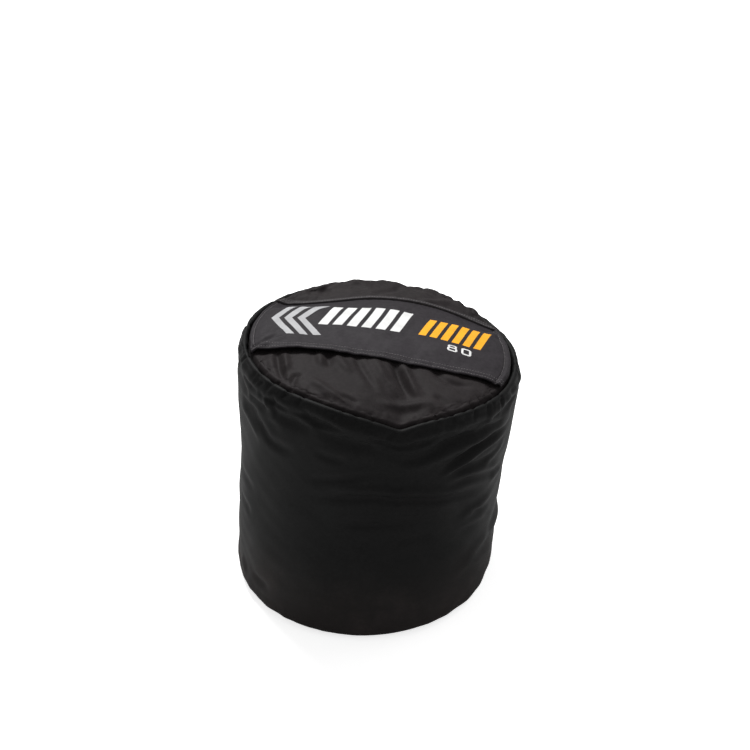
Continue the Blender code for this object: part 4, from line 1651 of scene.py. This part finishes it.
    def base(self) -> list[Object]:
        """The round bottom panel and the tape over its seam.

        Returns:
            The two pieces.
        """
        side = np.linspace(-1, 1, 72)
        u, v = np.meshgrid(-side, side)
        edge = FORM.base_radius - 0.0006
        x, y = edge * u * np.sqrt(1 - v * v / 2), edge * v * np.sqrt(1 - u * u / 2)
        uneven = 1 + swirl(joined(x, y, 0), 0.07, 21)
        z = 0.0004 + 0.0007 * uneven * ramp(np.hypot(x, y), edge, -0.03)
        disc = Cloth(joined(x, y, np.clip(z, 0.0002, 0.0026)), joined(x, y))
        panel = self.shop.cover(disc.shell("drum_base", self.thickness), Slot.WALL, "base_panel")
        angles, middle = turns(220), 0.18
        knots = ((-0.0145, 0.0052), (-0.007, 0.0062), (-0.0005, 0.0064))
        line = curve_through([(FORM.base_radius + offset, height) for offset, height in knots], 10)
        r, z = line[::-1, :1], line[::-1, 1:]
        points = joined(r * np.cos(angles), r * np.sin(angles), z)
        tape = Cloth(points, joined(middle * angles, -r), TURN * middle)
        tape_piece = tape.shell("base_tape", self.binding)
        return [panel, self.shop.cover(tape_piece, Slot.BINDING, "base_seam_binding")]

    def webbing(self) -> list[Object]:
        """The webbing sewn over the wall's upright seam, at the back, and its stitches.

        Returns:
            The two pieces.
        """
        wall, half, height, row_step = self.wall_cloth, 0.008, 0.0015, 0.0036
        rows = np.linspace(14, wall.points.shape[0] - 30, 170)
        row, side = np.meshgrid(rows, np.linspace(-half, half, 17), indexing="ij")
        places = row.ravel(), side.ravel() / GIRTH * self.columns
        edge, seam = ramp(np.abs(side), 0.0066, 0.0014), hump(np.abs(side), 0.0058, 0.0007)
        out = height - 0.0005 * edge - 0.0003 * seam
        flat = wall.at(*places)
        points = flat + (wall.at(*places, 1.0) - flat) * out.ravel()[:, None]
        cloth = Cloth(points.reshape(*row.shape, 3), joined(side, row * row_step))
        obj = cloth.shell("back_webbing", self.tape)
        strip = self.shop.cover(obj, Slot.WALL, "wall_seam_strip")
        along = np.linspace(2, 167, 300)
        lines = [cloth.at(along, column, 0.0002) for column in (2.2, 13.8)]
        seams = self.shop.stitches("webbing_stitches", lines, 5, Stitch.WEBBING)
        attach(seams, Body.BAG.value)
        return [strip, seams]

    def rim_tape(self) -> Object:
        """The tape bound over the rim seam, inside, under the edges of the top.

        Returns:
            The piece.
        """
        angles, middle, count = turns(300), 0.19, 14
        knots = ((-0.0115, -0.0086), (-0.0068, -0.0118), (-0.0062, -0.0150), (-0.0090, -0.0158))
        level = FORM.rim_level(angles)
        line = curve_through(knots, count)[::-1] + (FORM.seam_radius, 0)
        points = [FORM.ring(radius, angles, level + drop) for radius, drop in line]
        plan = joined(middle * angles, np.linspace(0, 0.013, count)[:, None])
        cloth = Cloth(np.array(points), plan, TURN * middle)
        return self.shop.cover(cloth.shell("rim_tape", self.tape), Slot.BINDING, "rim_seam_binding")

    def mouth_stitches(self) -> Object:
        """The rows of stitches that hold the zip's tapes and the loop tape to the panels.

        Returns:
            The piece.
        """
        half, loop_half, over_loop = 0.182, 0.148, 0.0012
        x = np.linspace(-half, half, 360)
        rows = [(x, y, 0.0) for y in (0.0055, 0.0095, 0.0505, 0.0545)]
        rows += [(x * loop_half / half, y, over_loop) for y in (-0.0535, -0.0185)]
        lines = [FORM.settle(u, y, self.top_z(u, y) + up) for u, y, up in rows]
        obj = self.shop.stitches("mouth_stitches", lines, 6, Stitch.MOUTH)
        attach(obj, Body.BAG.value)
        return obj

    def top_z(self, x: Grid, y: Grid) -> Grid:
        """Height of the panels on the upright bag, with their swells and the rim seam's groove.

        Args:
            x: Places along the flap.
            y: Places across it.

        Returns:
            The heights.
        """
        inward = self.groove_radius - np.hypot(x, y)
        swell = FORM.swell(x, y) * FORM.mouth_calm(y) * smooth(inward / 0.02)
        z = FORM.top_height(x, y) + swell
        for (height, middle, width), span in self.puffs:
            z = z + height * ramp(y, *span) * hump(inward, middle, width)
        return z - self.groove_depth * roll(inward / self.groove_reach)

    def panel(self, kind: Panel) -> Object:
        """A panel of the top, from the mouth's folded edge to the rim seam.

        Args:
            kind: Which of the two.

        Returns:
            The piece.
        """
        side, radius = kind.side, self.groove_radius
        edge = FORM.zip_y + side * self.mouth
        widest = radius if edge * side < 0 else math.sqrt(radius**2 - edge**2)
        u, v = np.meshgrid(np.linspace(-0.5, 0.5, 250), np.linspace(0, 1, 110))
        x = 0.9995 * widest * np.sin(math.pi * u)
        rim = side * np.sqrt(radius**2 - x**2)
        y = mix(rim, edge, v**1.5) if side < 0 else mix(edge, rim, 1 - (1 - v) ** 1.5)
        cloth = top_sheet(x, y, self.top_z(x, y))
        inward = radius - np.hypot(x, y)
        held = ramp(inward, 0.010, -0.005) + ramp(np.abs(y - edge), 0.022, -0.01)
        held += ramp(y, *kind.held)
        Drape(rows=52, columns=104, pressure=3.0, most=0.003).relax(cloth, held)
        lift = self.panel_folds * fold_lift(kind.folds, MILLIMETRES, x, y)
        lift *= ramp(y, *kind.fade) * ramp(inward, 0.002, 0.014)
        extra = ripples(cloth.points, kind.pucker) * self.pucker_zone.over(inward)
        run = FORM.seam_radius * np.arctan2(y, x) + ripples(cloth.points, self.panel_wander)
        pinches = seam_pinches(run, inward - self.pinch_inset) * smooth(inward / 0.002)
        extra -= self.panel_tucks.at(run, inward) + pinches
        extra += ripples(cloth.points, *kind.uneven) * smooth(inward / 0.02)
        cloth.push(lift + extra * ramp(y * side, kind.edge, 0.02))
        return self.shop.cover(cloth.shell(kind.name, self.thickness), Slot.TOP, kind.node)


@dataclass
class Flap:
    """The wide band over the mouth, its hem, its lap seam and its hook tape.

    A groove is the depth and width of a row of stitches. The beads are humps by the distance from
    the band's ends, and the waves of the hem are humps by the place along X. The lap's front is the
    line of its folded edge, in the top's own plan.
    """

    shop: Workshop
    bag: Bag
    front: float = -0.072
    end_radius: float = 0.194
    end_drop: float = 0.0092
    end_reach: float = 0.0036
    thickness: float = 0.0022
    raised: float = 0.0046
    seam_lift: float = 0.0004
    hem: float = 0.0135
    hem_lift: float = 0.0010
    hem_fold: float = 0.0008
    hem_seams: Pair = (0.0032, 0.0112)
    end_seams: Pair = (-0.970, 0.951)
    groove: Pair = (0.0008, 0.0012)
    left_bead: tuple[Hump, ...] = ((0.0007, 0.0022, 0.0018), (-0.0006, 0.0060, 0.0012))
    right_bead: tuple[Hump, ...] = ((0.0020, 0.0040, 0.0028), (-0.0014, 0.0090, 0.0016))
    hem_waves: tuple[Hump, ...] = (
        (0.0040, -0.100, 0.055), (0.0022, 0.142, 0.03), (-0.0008, 0.03, 0.05),
    )
    folds: float = 1.4
    uneven: tuple[Ripple, ...] = ((0.0006, 0.07, 51), (0.00025, 0.024, 52))
    hem_ripple: Ripple = (0.00035, 0.013, 53)
    lap_ripple: Ripple = (0.00035, 0.016, 61)
    columns: int = 260
    row_count: int = 110
    bend_height: float = 0.018
    bend_span: Pair = (0.104, 0.086)
    lap_depth: float = 0.0135
    lap_under: float = 0.006
    lap_half: float = 0.17
    lap_thickness: float = 0.0016
    lap_radius: float = 0.1932
    lap_roll: float = 0.0031
    lap_seams: Pair = (0.22, 0.80)
    lap_grooves: tuple[Hump, ...] = ((0.0004, 0.22, 0.07), (0.0005, 0.80, 0.08))
    lap_front: tuple[Pair, ...] = (
        (-0.185, 0.0845), (-0.17, 0.085), (-0.12, 0.086), (-0.077, 0.090), (-0.037, 0.097),
        (0.016, 0.099), (0.075, 0.099), (0.11, 0.097), (0.15, 0.091), (0.174, 0.085),
        (0.185, 0.084),
    )
    tape_half: float = 0.150
    tape_span: Pair = (-0.055, -0.017)
    tape_lift: float = 0.0011
    tape_thickness: float = 0.0008
    hook_radius: float = 0.0004

    def build(self) -> list[Object]:
        """Makes the band, its lap, their stitching and the hook and loop tapes.

        Returns:
            The pieces.
        """
        cloth, lap_cloth = self.band_cloth(), self.lap_cloth()
        band, lap = self.band(cloth), self.lap(lap_cloth)
        seams = self.band_stitches(cloth)
        return [band, lap, seams, self.lap_stitches(lap_cloth), *self.tapes()]

    def lap_line(self, x: Grid) -> Grid:
        """Where the lap's folded edge lies along the flap's back."""
        line = curve_through(self.lap_front, 200)
        return np.interp(x, line[:, 0], line[:, 1])

    def surface(self, x: Grid, y: Grid) -> Grid:
        """Height of the band's underside on the upright bag.

        Args:
            x: Places along the flap.
            y: Places across it.

        Returns:
            The heights.
        """
        swell = FORM.swell(x, y)
        swell = np.where(swell > 0, swell, swell * FORM.mouth_calm(y))
        inward = self.end_radius - np.hypot(x, y)
        groove = self.end_drop * roll(inward / self.end_reach)
        off = mix(self.seam_lift, self.raised, ramp(y, 0.095, -0.047))
        off = off * mix(0.25, 1, smooth(inward / 0.024))
        return FORM.top_height(x, y) + swell * smooth(inward / 0.02) - groove + off

    def across(self) -> Grid:
        """Where the band's columns lie, from -1 to 1, closer together near its ends."""
        even = np.linspace(-1, 1, self.columns)
        return 0.35 * even + 0.65 * np.sin(even * math.pi / 2)

    def band_cloth(self) -> Cloth:
        """The band's upper face, with its hem, its beaded ends and its creases.

        Returns:
            The sheet.
        """
        u, v = np.meshgrid(self.across(), np.linspace(0, 1, self.row_count))
        y = mix(self.front, self.lap_line(u * self.lap_half) + self.lap_under, v)
        half = np.sqrt(self.end_radius**2 - y**2) - 0.0012
        x = u * half
        y = y + 0.0012 * np.sin(x * 38 + 0.8) * (1 - smooth(v / 0.3))
        cloth = top_sheet(x, y, self.surface(x, y) + self.thickness)
        inner, side = y - self.front, half - np.abs(x)
        lift = self.hem_lift * (1 - ramp(inner, self.hem, 0.0010))
        depth, width = self.groove
        lift -= humps(inner, *((depth, seam, width) for seam in self.hem_seams))
        lift += np.where(x > 0, humps(side, *self.right_bead), humps(side, *self.left_bead))
        folds = self.folds * fold_lift(FLAP_FOLDS, MILLIMETRES, x, y)
        lift += folds * smooth(side / 0.006) * ramp(y, 0.084, -0.014)
        lift += humps(x, *self.hem_waves) * (1 - smooth(inner / 0.034))
        lift += ripples(cloth.points, *self.uneven) * ramp(y, 0.086, -0.02)
        ripple = ripples(joined(x, 0.25 * y, 0), self.hem_ripple)
        return cloth.push(lift + ripple * (1 - smooth(inner / 0.022)))

    def band(self, cloth: Cloth) -> Object:
        """The band as one piece, thicker at its hem.

        Args:
            cloth: The band's upper face.

        Returns:
            The piece.
        """
        folded = 1 - ramp(cloth.plan[..., 1] - self.front, self.hem, 0.0012)
        obj = cloth.shell("flap_band", self.thickness + self.hem_fold * folded)
        return self.bend(self.shop.cover(obj, Slot.FLAP, "closure_flap", body=None))

    def bend(self, obj: Object) -> Object:
        """Bakes a piece's place into its mesh; the piece rides on no body.

        Args:
            obj: The piece.

        Returns:
            The same piece.
        """
        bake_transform(obj)
        return obj

    def lap_cloth(self) -> Cloth:
        """The folded edge of the rear panel over the band's back edge.

        Returns:
            The sheet.
        """
        u, v = np.meshgrid(np.linspace(-1, 1, 240), np.linspace(0, 1, 22))
        y = self.lap_line(u * self.lap_half) + self.lap_depth * v
        x = u * (np.sqrt(self.lap_radius**2 - y**2) - 0.0004)
        rest = mix(self.surface(x, y) + self.thickness, self.bag.top_z(x, y), ramp(v, 0.35, 0.4))
        profile = self.lap_roll * np.sqrt(1 - (1 - np.clip(v / 0.14, 0, 1)) ** 2)
        profile -= humps(v, *self.lap_grooves)
        cloth = top_sheet(x, y, rest + np.maximum(profile, 0.0002))
        return cloth.push(ripples(joined(x, 0, 0), self.lap_ripple))

    def lap(self, cloth: Cloth) -> Object:
        """The lap as one piece.

        Args:
            cloth: The lap's upper face.

        Returns:
            The piece.
        """
        obj = cloth.shell("rear_lap", self.lap_thickness)
        # Painted highlight: the lap takes the lighter lap finish instead of the top cloth's own
        # colour.
        self.shop.cover(obj, Slot.TOP, "flap_seam_binding", body=None, paint=Extra.LAP)
        return self.bend(obj)

    def band_stitches(self, cloth: Cloth) -> Object:
        """Two rows along the hem and one up each end.

        Args:
            cloth: The band's upper face.

        Returns:
            The piece.
        """
        last = cloth.points.shape[0] - 1
        step = (self.lap_line(0) + self.lap_under - self.front) / last
        columns = np.linspace(3, self.columns - 4, 400)
        lines = [cloth.at(seam / step, columns, 0.0001) for seam in self.hem_seams]
        for place in self.end_seams:
            column = float(np.interp(place, self.across(), np.arange(self.columns)))
            lines.append(cloth.at(np.linspace(4, last - 6, 160), column, 0.0001))
        return self.bend(self.shop.stitches("flap_stitches", lines, 3, Stitch.FLAP))

    def lap_stitches(self, cloth: Cloth) -> Object:
        """Two rows along the lap.

        Args:
            cloth: The lap's upper face.

        Returns:
            The piece.
        """
        columns = np.linspace(2, 237, 400)
        lines = [cloth.at(row * 21, columns, 0.0001) for row in self.lap_seams]
        return self.bend(self.shop.stitches("lap_stitches", lines, 4, Stitch.FLAP))

    def tapes(self) -> list[Object]:
        """The hook tape under the band, the loop tape on the panel below, and the pile of both.

        Returns:
            The pieces.
        """
        along = np.linspace(-self.tape_half, self.tape_half, 120)
        u, v = np.meshgrid(along, np.linspace(*self.tape_span, 18))
        low = top_sheet(u, v, self.bag.top_z(u, v) + self.tape_lift)
        high = top_sheet(u[:, ::-1], v, self.surface(u, v)[:, ::-1] - self.tape_thickness)
        pieces = []
        for cloth, name, slot, node, body, density, height in (
            (low, "loop_tape", Slot.LOOPS, "loop_strip", Body.BAG, 640000.0, 0.0008),
            (high, "hook_tape", Slot.HOOKS, "hook_strip", Body.FLAP, 520000.0, 0.0009),
        ):
            tape = cloth.shell(name, self.tape_thickness)
            self.shop.cover(tape, slot, node, body=body)
            places = (cloth.points + cloth.normals() * height * 0.35).reshape(-1, 3).tolist()
            carrier = new_mesh("pile", places, quads(np.arange(u.size).reshape(u.shape)).tolist())
            sizes = {"Density": density, "Height": height, "Radius": self.hook_radius, "Seed": 7}
            paint = self.shop.paint(slot)
            pile = self.shop.pile.lay(name + "_pile", carrier, Material=paint, **sizes)
            pieces += [tape, self.shop.cover(pile, slot, body=body)]
        return pieces


@dataclass
class Zip:
    """The zip under the flap: tapes, coil teeth, stops, slider and tab."""

    shop: Workshop
    bag: Bag
    tape_radius: float = 0.1925
    tape_depth: float = 0.0028
    tape_thickness: float = 0.0010
    half_chain: float = 0.128056
    slider_rest: float = 0.120056
    reach: float = 0.026
    cord: Hump = (0.0002, 0.0050, 0.0008)
    tooth_offset: float = 0.00165
    tooth_depth: float = 0.0014
    tooth_pitch: float = 0.0022
    tooth: tuple[float, float, float] = (0.00185, 0.0030, 0.0021)

    def build(self) -> list[Object]:
        """Makes both sides of the zip and its slider, and paints the stops.

        Returns:
            The pieces.
        """
        pieces = []
        for name, side, word in (("near", -1, "front"), ("far", 1, "back")):
            pieces += [self.tape(name, side, word), self.teeth(name, side, word)]
        for side in ("left", "right"):
            stop = next(obj for obj in bpy.data.objects if obj.name == f"zip_stop_{side}")
            stop.data.materials.clear()
            stop.data.materials.append(self.shop.paint(Slot.METAL))
        return pieces + self.slider()

    def tape(self, name: str, side: int, word: str) -> Object:
        """One woven tape, with a thicker cord along the teeth.

        Args:
            name: Its side in the piece's name.
            side: -1 in front of the teeth, 1 behind them.
            word: Its side in the CAD node's name.

        Returns:
            The piece.
        """
        edges = sorted((FORM.zip_y + side * 0.00015, FORM.zip_y + side * self.reach))
        u, v = np.meshgrid(np.linspace(-1, 1, 150), np.linspace(*edges, 22))
        u = u * np.sqrt(self.tape_radius**2 - v**2)
        ridge = humps(np.abs(v - FORM.zip_y), self.cord)
        cloth = top_sheet(u, v, self.bag.top_z(u, v) - self.tape_depth + ridge)
        obj = cloth.shell(f"zip_tape_{name}", self.tape_thickness)
        return self.shop.cover(obj, Slot.ZIP_TAPE, f"zip_tape_{word}")

    def teeth(self, name: str, side: int, word: str) -> Object:
        """One row of coil teeth, as its tape lies.

        Args:
            name: Its side in the piece's name.
            side: -1 in front, 1 behind.
            word: Its side in the CAD node's name.

        Returns:
            The piece.
        """
        x = np.linspace(-self.half_chain, self.half_chain, 300)
        y = FORM.zip_y + side * self.tooth_offset
        line = FORM.settle(x, y, FORM.top_height(x, y) - self.tooth_depth)
        sizes = {"Pitch": self.tooth_pitch, "Size": self.tooth, "Jitter": 0.02, "Seed": 1}
        paint = self.shop.paint(Slot.TEETH)
        obj = self.shop.beads.lay(f"teeth_{name}", line_mesh([line]), Material=paint, **sizes)
        return self.shop.cover(obj, Slot.TEETH, f"zip_chain_{word}")

    def slider_place(self) -> Matrix:
        """Where the slider's own frame stands on the bag.

        Returns:
            The transform.
        """
        radius = FORM.arc_radius(FORM.crown)
        top = float(FORM.top_height(0, FORM.zip_y))
        middle = FORM.on_top(0, FORM.zip_y, top - FORM.rim_height - radius)
        turn = FORM.top_tilt + math.asin(self.slider_rest / radius)
        out = Matrix.Rotation(turn, 4, "Y") @ Matrix.Translation((0, 0, radius))
        return Matrix.Translation(middle) @ out

    def slider(self) -> list[Object]:
        """The slider's body with its bail, and the tab on it.

        Returns:
            The two pieces.
        """
        body, bail, tab = self.saddle(), self.bail(), self.tab()
        chosen = dict.fromkeys(("selected_objects", "selected_editable_objects"), [body, bail])
        with bpy.context.temp_override(active_object=body, **chosen):
            bpy.ops.object.join()
        for obj, node in ((body, "zip_slider"), (tab, "zip_pull")):
            obj.data.transform(self.slider_place())
            self.shop.cover(obj, Slot.METAL, node, body=Body.SLIDER)
        return [body, tab]

    def saddle(self) -> Object:
        """The slider's rounded saddle: flanges down both sides and a nose at the front.

        Returns:
            The part.
        """
        length, width, low, high = 0.014, 0.0091, -0.0021, 0.0012
        turn = np.linspace(0, TURN, 49)[:-1]
        x = squared(np.cos(turn), 0.45) * length / 2
        y = squared(np.sin(turn), 0.5) * width / 2 * (1 - 0.22 * ramp(x, 0.002, length / 2))
        profile = (
            (0.0016, 0.0002), (0.0011, 0.0002), (0.0011, low), (0.0003, low - 0.0001),
            (0.0, low + 0.0003), (0.0, high - 0.0006), (0.0004, high - 0.0002), (0.0011, high),
            (0.0030, high + 0.00005),
        )
        rows = [
            joined(x * (1 - 2 * inset / length), y * (1 - 2 * inset / width), z)
            for inset, z in profile
        ]
        return skin("slider_body", np.array(rows))

    def bail(self) -> Object:
        """A small arch along the slider with room for the tab's bar.

        Returns:
            The part.
        """
        length, width, thickness, foot, top = 0.009, 0.0024, 0.0009, 0.0010, 0.0033
        turn = np.linspace(0, math.pi, 21)
        x = -(length - thickness) / 2 * squared(np.cos(turn), 0.6)
        line = np.stack([x, foot + (top + thickness / 2 - foot) * np.sin(turn) ** 0.6], 1)
        heading = unit(np.gradient(line, axis=0))
        loop = np.linspace(0, TURN, 13)[:-1]
        out = thickness / 2 * np.sin(loop)
        rows = [
            joined(x - ahead_z * out, -width / 2 * np.cos(loop), z + ahead_x * out)
            for (x, z), (ahead_x, ahead_z) in zip(line, heading)
        ]
        return skin("slider_bail", np.array(rows))

    def tab(self) -> Object:
        """The flat rounded tab, a ring of metal round its eye and a plain end.

        Returns:
            The part.
        """
        length, width, eye_length, eye_width = 0.028, 0.009, 0.0054, 0.0044
        half_thickness, height, start = 0.0006, 0.00225, 0.0006
        turn = np.linspace(0, TURN, 65)[:-1]
        outer = [
            start - length / 2 + squared(np.cos(turn), 0.35) * length / 2,
            squared(np.sin(turn), 0.45) * width / 2,
        ]
        eye = [
            -start - eye_length / 2 + np.cos(turn) * eye_length / 2,
            np.sin(turn) * eye_width / 2,
        ]
        half_ring = ((0.0, 0.6), (0.06, 1.0), (0.94, 1.0), (1.0, 0.6))
        ring = [(share, -level) for share, level in half_ring] + list(half_ring[::-1])
        rows = []
        for share, level in ring:
            x, y = (mix(near, far, share) for near, far in zip(eye, outer))
            rows.append(joined(x, y, height + level * half_thickness))
        return skin("slider_tab", np.array(rows), closed_rows=True)


@dataclass
class Filling:
    """What the zip closes in: the inner bag with its tied neck, and the sand."""

    shop: Workshop
    inset: float = 0.0095
    floor: float = 0.0068
    headroom: float = 0.0095
    hollow: float = 0.016
    hollow_width: float = 0.060
    edge_drop: float = 0.008
    neck_gap: float = 0.024
    waist: float = 0.0075
    thickness: float = 0.0009
    neck_thickness: float = 0.0005
    centre: tuple[float, float, float] = (0.012, 0.0, 0.2)
    columns: int = 240

    def build(self) -> list[Object]:
        """Makes the inner bag, its neck, the tie and the sand.

        Returns:
            The pieces.
        """
        shape = self.shape(inset=0.0120, floor=0.0092, below=0.0026, seed=71, crease=0.0006)
        sand = skin("sand_load", shape)
        return [self.shop.cover(sand, Slot.SAND, "sand_fill"), self.bag(), self.neck(), self.tie()]

    def height(self, x: Grid, y: Grid) -> Grid:
        """Height of the inner bag's top on the upright bag."""
        hollow = self.hollow * hump(np.hypot(x, y - FORM.zip_y), 0, self.hollow_width)
        return FORM.top_height(x, y) - self.headroom - hollow

    def foot(self) -> float:
        """Height of the neck's foot on the upright bag."""
        return float(self.height(0, FORM.zip_y))

    def shape(self, inset: float, floor: float, below: float, seed: int, crease: float) -> Grid:
        """Rows of points of a filled shape inside the wall, from its bottom to near the neck.

        Args:
            inset: Distance inside the wall.
            floor: Height of its bottom.
            below: Distance under the inner bag's top.
            seed: Picks one unevenness.
            crease: How deep that is.

        Returns:
            Rows by columns by three.
        """
        angles = turns(self.columns)
        level = FORM.rim_level(angles)
        rows = [((FORM.base_radius - 0.004) * share, floor) for share in np.linspace(0.05, 1, 12)]
        bend = FORM.base_corner - inset
        for t in np.linspace(0.35, 1, 6):
            turn = t * math.pi / 2
            z = max(FORM.base_corner - bend * math.cos(turn), floor)
            rows.append((FORM.base_radius + bend * math.sin(turn), z))
        for share in np.linspace(0.08, 0.9, 40):
            rows.append((FORM.wall_radius(share) - inset, share * level))
        r, z = rings(rows, self.columns)
        top = []
        for share in np.linspace(1, 0, 30):
            radius = mix(self.neck_gap, FORM.seam_radius - inset - 0.002, share)
            x, y = radius * np.cos(angles), radius * np.sin(angles) + FORM.zip_y * (1 - share)
            edge = self.edge_drop * ramp(share, 0.9, 0.1)
            top.append(FORM.settle(x, y, self.height(x, y) - below - edge))
        points = np.concatenate([FORM.ring(r, angles, z), np.array(top)])
        uneven = np.clip(swirl(points, 0.04, seed), -2, 2) * 0.5
        outward = unit(points - np.array(self.centre))
        return points - outward * (crease * (1 + uneven))[..., None]

    def bag(self) -> Object:
        """The inner bag's wall and bottom.

        Returns:
            The piece.
        """
        points = self.shape(self.inset, self.floor, below=0.0, seed=72, crease=0.0003)
        obj = Cloth(points, points[..., ::2], TURN).shell("liner_bag", self.thickness)
        return self.shop.cover(obj, Slot.LINER, "liner_body", "liner_top")

    def neck(self) -> Object:
        """The gathered neck, pleated where the tie holds it.

        Returns:
            The piece.
        """
        angles = turns(240)
        knots = np.array(
            (
                (0.0235, -0.0002, 0.0), (0.0180, 0.0015, 0.0006), (0.0110, 0.0042, 0.0011),
                (0.0088, self.waist, 0.0004), (0.0100, self.waist + 0.0026, 0.0012),
                (0.0138, 0.0140, 0.0022),
            )
        )
        pleats = np.sin(17 * angles + 0.6 * np.sin(3 * angles))
        rows = [
            FORM.ring(radius + pleat * pleats, angles, self.foot() + z, FORM.zip_y)
            for radius, z, pleat in spread(4 * len(knots) - 3, len(knots)) @ knots
        ]
        cloth = Cloth(np.array(rows), np.zeros((len(rows), 240, 2)), TURN)
        return self.shop.cover(cloth.shell("liner_neck", self.neck_thickness), Slot.LINER)

    def tie(self) -> Object:
        """The band round the neck, with its crossed-over end.

        Returns:
            The piece.
        """
        angles = turns(96)
        waist = self.foot() + self.waist
        rows = []
        for t in np.linspace(0, TURN, 17)[:-1]:
            radius = 0.0107 + 0.0013 * math.cos(t) + 0.0004 * hump(angles, -2.0, 0.3)
            z = waist + 0.0022 * math.sin(t) * (1 + 0.05 * np.sin(5 * angles))
            rows.append(FORM.ring(radius, angles, z, FORM.zip_y))
        obj = skin("neck_tie", np.array(rows), closed_rows=True)
        return self.shop.cover(obj, Slot.TIE, "liner_tie")


# ---- floor, light and camera ----


@dataclass(frozen=True)
class Studio:
    """A plain white floor, soft light and the photograph's view.

    Each lamp has a place, a size and a power.
    """

    focal_pixels: float = 1300.0
    frame_pixels: float = 750.0
    target: tuple[float, float, float] = (0.0187, 0.0, 0.3434)
    distance: float = 1.94
    azimuth: float = math.radians(6.135)
    elevation: float = math.radians(30.728)
    ambient: float = 0.36
    glow: float = 0.72
    floor_side: float = 6.0
    lamps: tuple[tuple[str, tuple[float, float, float], float, float], ...] = (
        ("key", (-0.65, 1.35, 2.7), 1.2, 86),
        ("fill", (1.9, -1.2, 1.6), 1.6, 4),
        ("side", (1.6, 0.9, 2.0), 1.4, 7),
    )

    def build(self) -> None:
        """Makes the floor, the lights, the sky and the camera."""
        self.floor()
        self.sky()
        for lamp in self.lamps:
            self.lamp(*lamp)
        self.camera()
        bpy.context.scene.view_settings.view_transform = "Standard"

    def aim(self, obj: Object, place: Vector, target: Vector) -> None:
        """Puts a lamp or the camera in its place and turns it to a target."""
        obj.location = place
        obj.rotation_euler = (target - place).to_track_quat("-Z", "Y").to_euler()

    def camera(self) -> None:
        """The photograph's camera."""
        data = bpy.data.cameras.new("camera")
        data.lens = data.sensor_width * self.focal_pixels / self.frame_pixels
        flat, turn = math.cos(self.elevation), self.azimuth
        off = Vector((math.sin(turn) * flat, -math.cos(turn) * flat, math.sin(self.elevation)))
        target = Vector(self.target)
        bpy.context.scene.camera = add("camera", data)
        self.aim(bpy.context.scene.camera, target + off * self.distance, target)

    def lamp(self, name: str, place: tuple[float, float, float], size: float, power: float) -> None:
        """A large soft lamp that faces the bag.

        Args:
            name: Its name.
            place: Where it hangs.
            size: Its width.
            power: Its power in watts.
        """
        data = bpy.data.lights.new(name, "AREA")
        data.shape, data.size, data.energy = "DISK", size, power
        self.aim(add(name, data), Vector(place), Vector((0, 0, 0.3)))

    def seen(self, graph: Graph) -> Socket:
        """1 for what the camera sees straight on, 0 for what lights the bag."""
        return graph.node("ShaderNodeLightPath").outputs["Is Camera Ray"]

    def sky(self) -> None:
        """White to the camera and a softer grey as light."""
        world = bpy.context.scene.world = bpy.data.worlds.new("sky")
        world.use_nodes = True
        graph = Graph(world.node_tree)
        strength = graph.math("MULTIPLY_ADD", self.seen(graph), 1 - self.ambient, self.ambient)
        graph.fill(graph.tree.nodes["Background"], Color=(1, 1, 1, 1), Strength=strength)

    def floor(self) -> None:
        """A white floor on which only the contact shadow shows."""
        side = self.floor_side
        corners = [(-side, -side, 0), (side, -side, 0), (side, side, 0), (-side, side, 0)]
        mesh = new_mesh("floor", corners, [(0, 1, 2, 3)])
        material = bpy.data.materials.new("floor")
        material.use_nodes = True
        graph = Graph(material.node_tree)
        graph.fill(
            graph.tree.nodes["Principled BSDF"],
            Base_Color=(0.86, 0.86, 0.86, 1),
            Roughness=0.9,
            Specular_IOR_Level=0.1,
            Emission_Color=(1, 1, 1, 1),
            Emission_Strength=graph.math("MULTIPLY", self.seen(graph), self.glow),
        )
        mesh.materials.append(material)
        add("floor", mesh)


def main() -> None:
    """Builds the bag, its flap, zip and filling, and the studio round them."""
    logging.basicConfig(level=logging.INFO, format="%(message)s")
    shop = Workshop()
    bag = Bag(shop)
    for maker in (bag, Flap(shop, bag), Zip(shop, bag), Filling(shop)):
        for piece in maker.build():
            LOG.info("%s: %s, %d faces", type(maker).__name__, piece.name, len(piece.data.polygons))
    Studio().build()


if __name__ == "__main__":
    main()
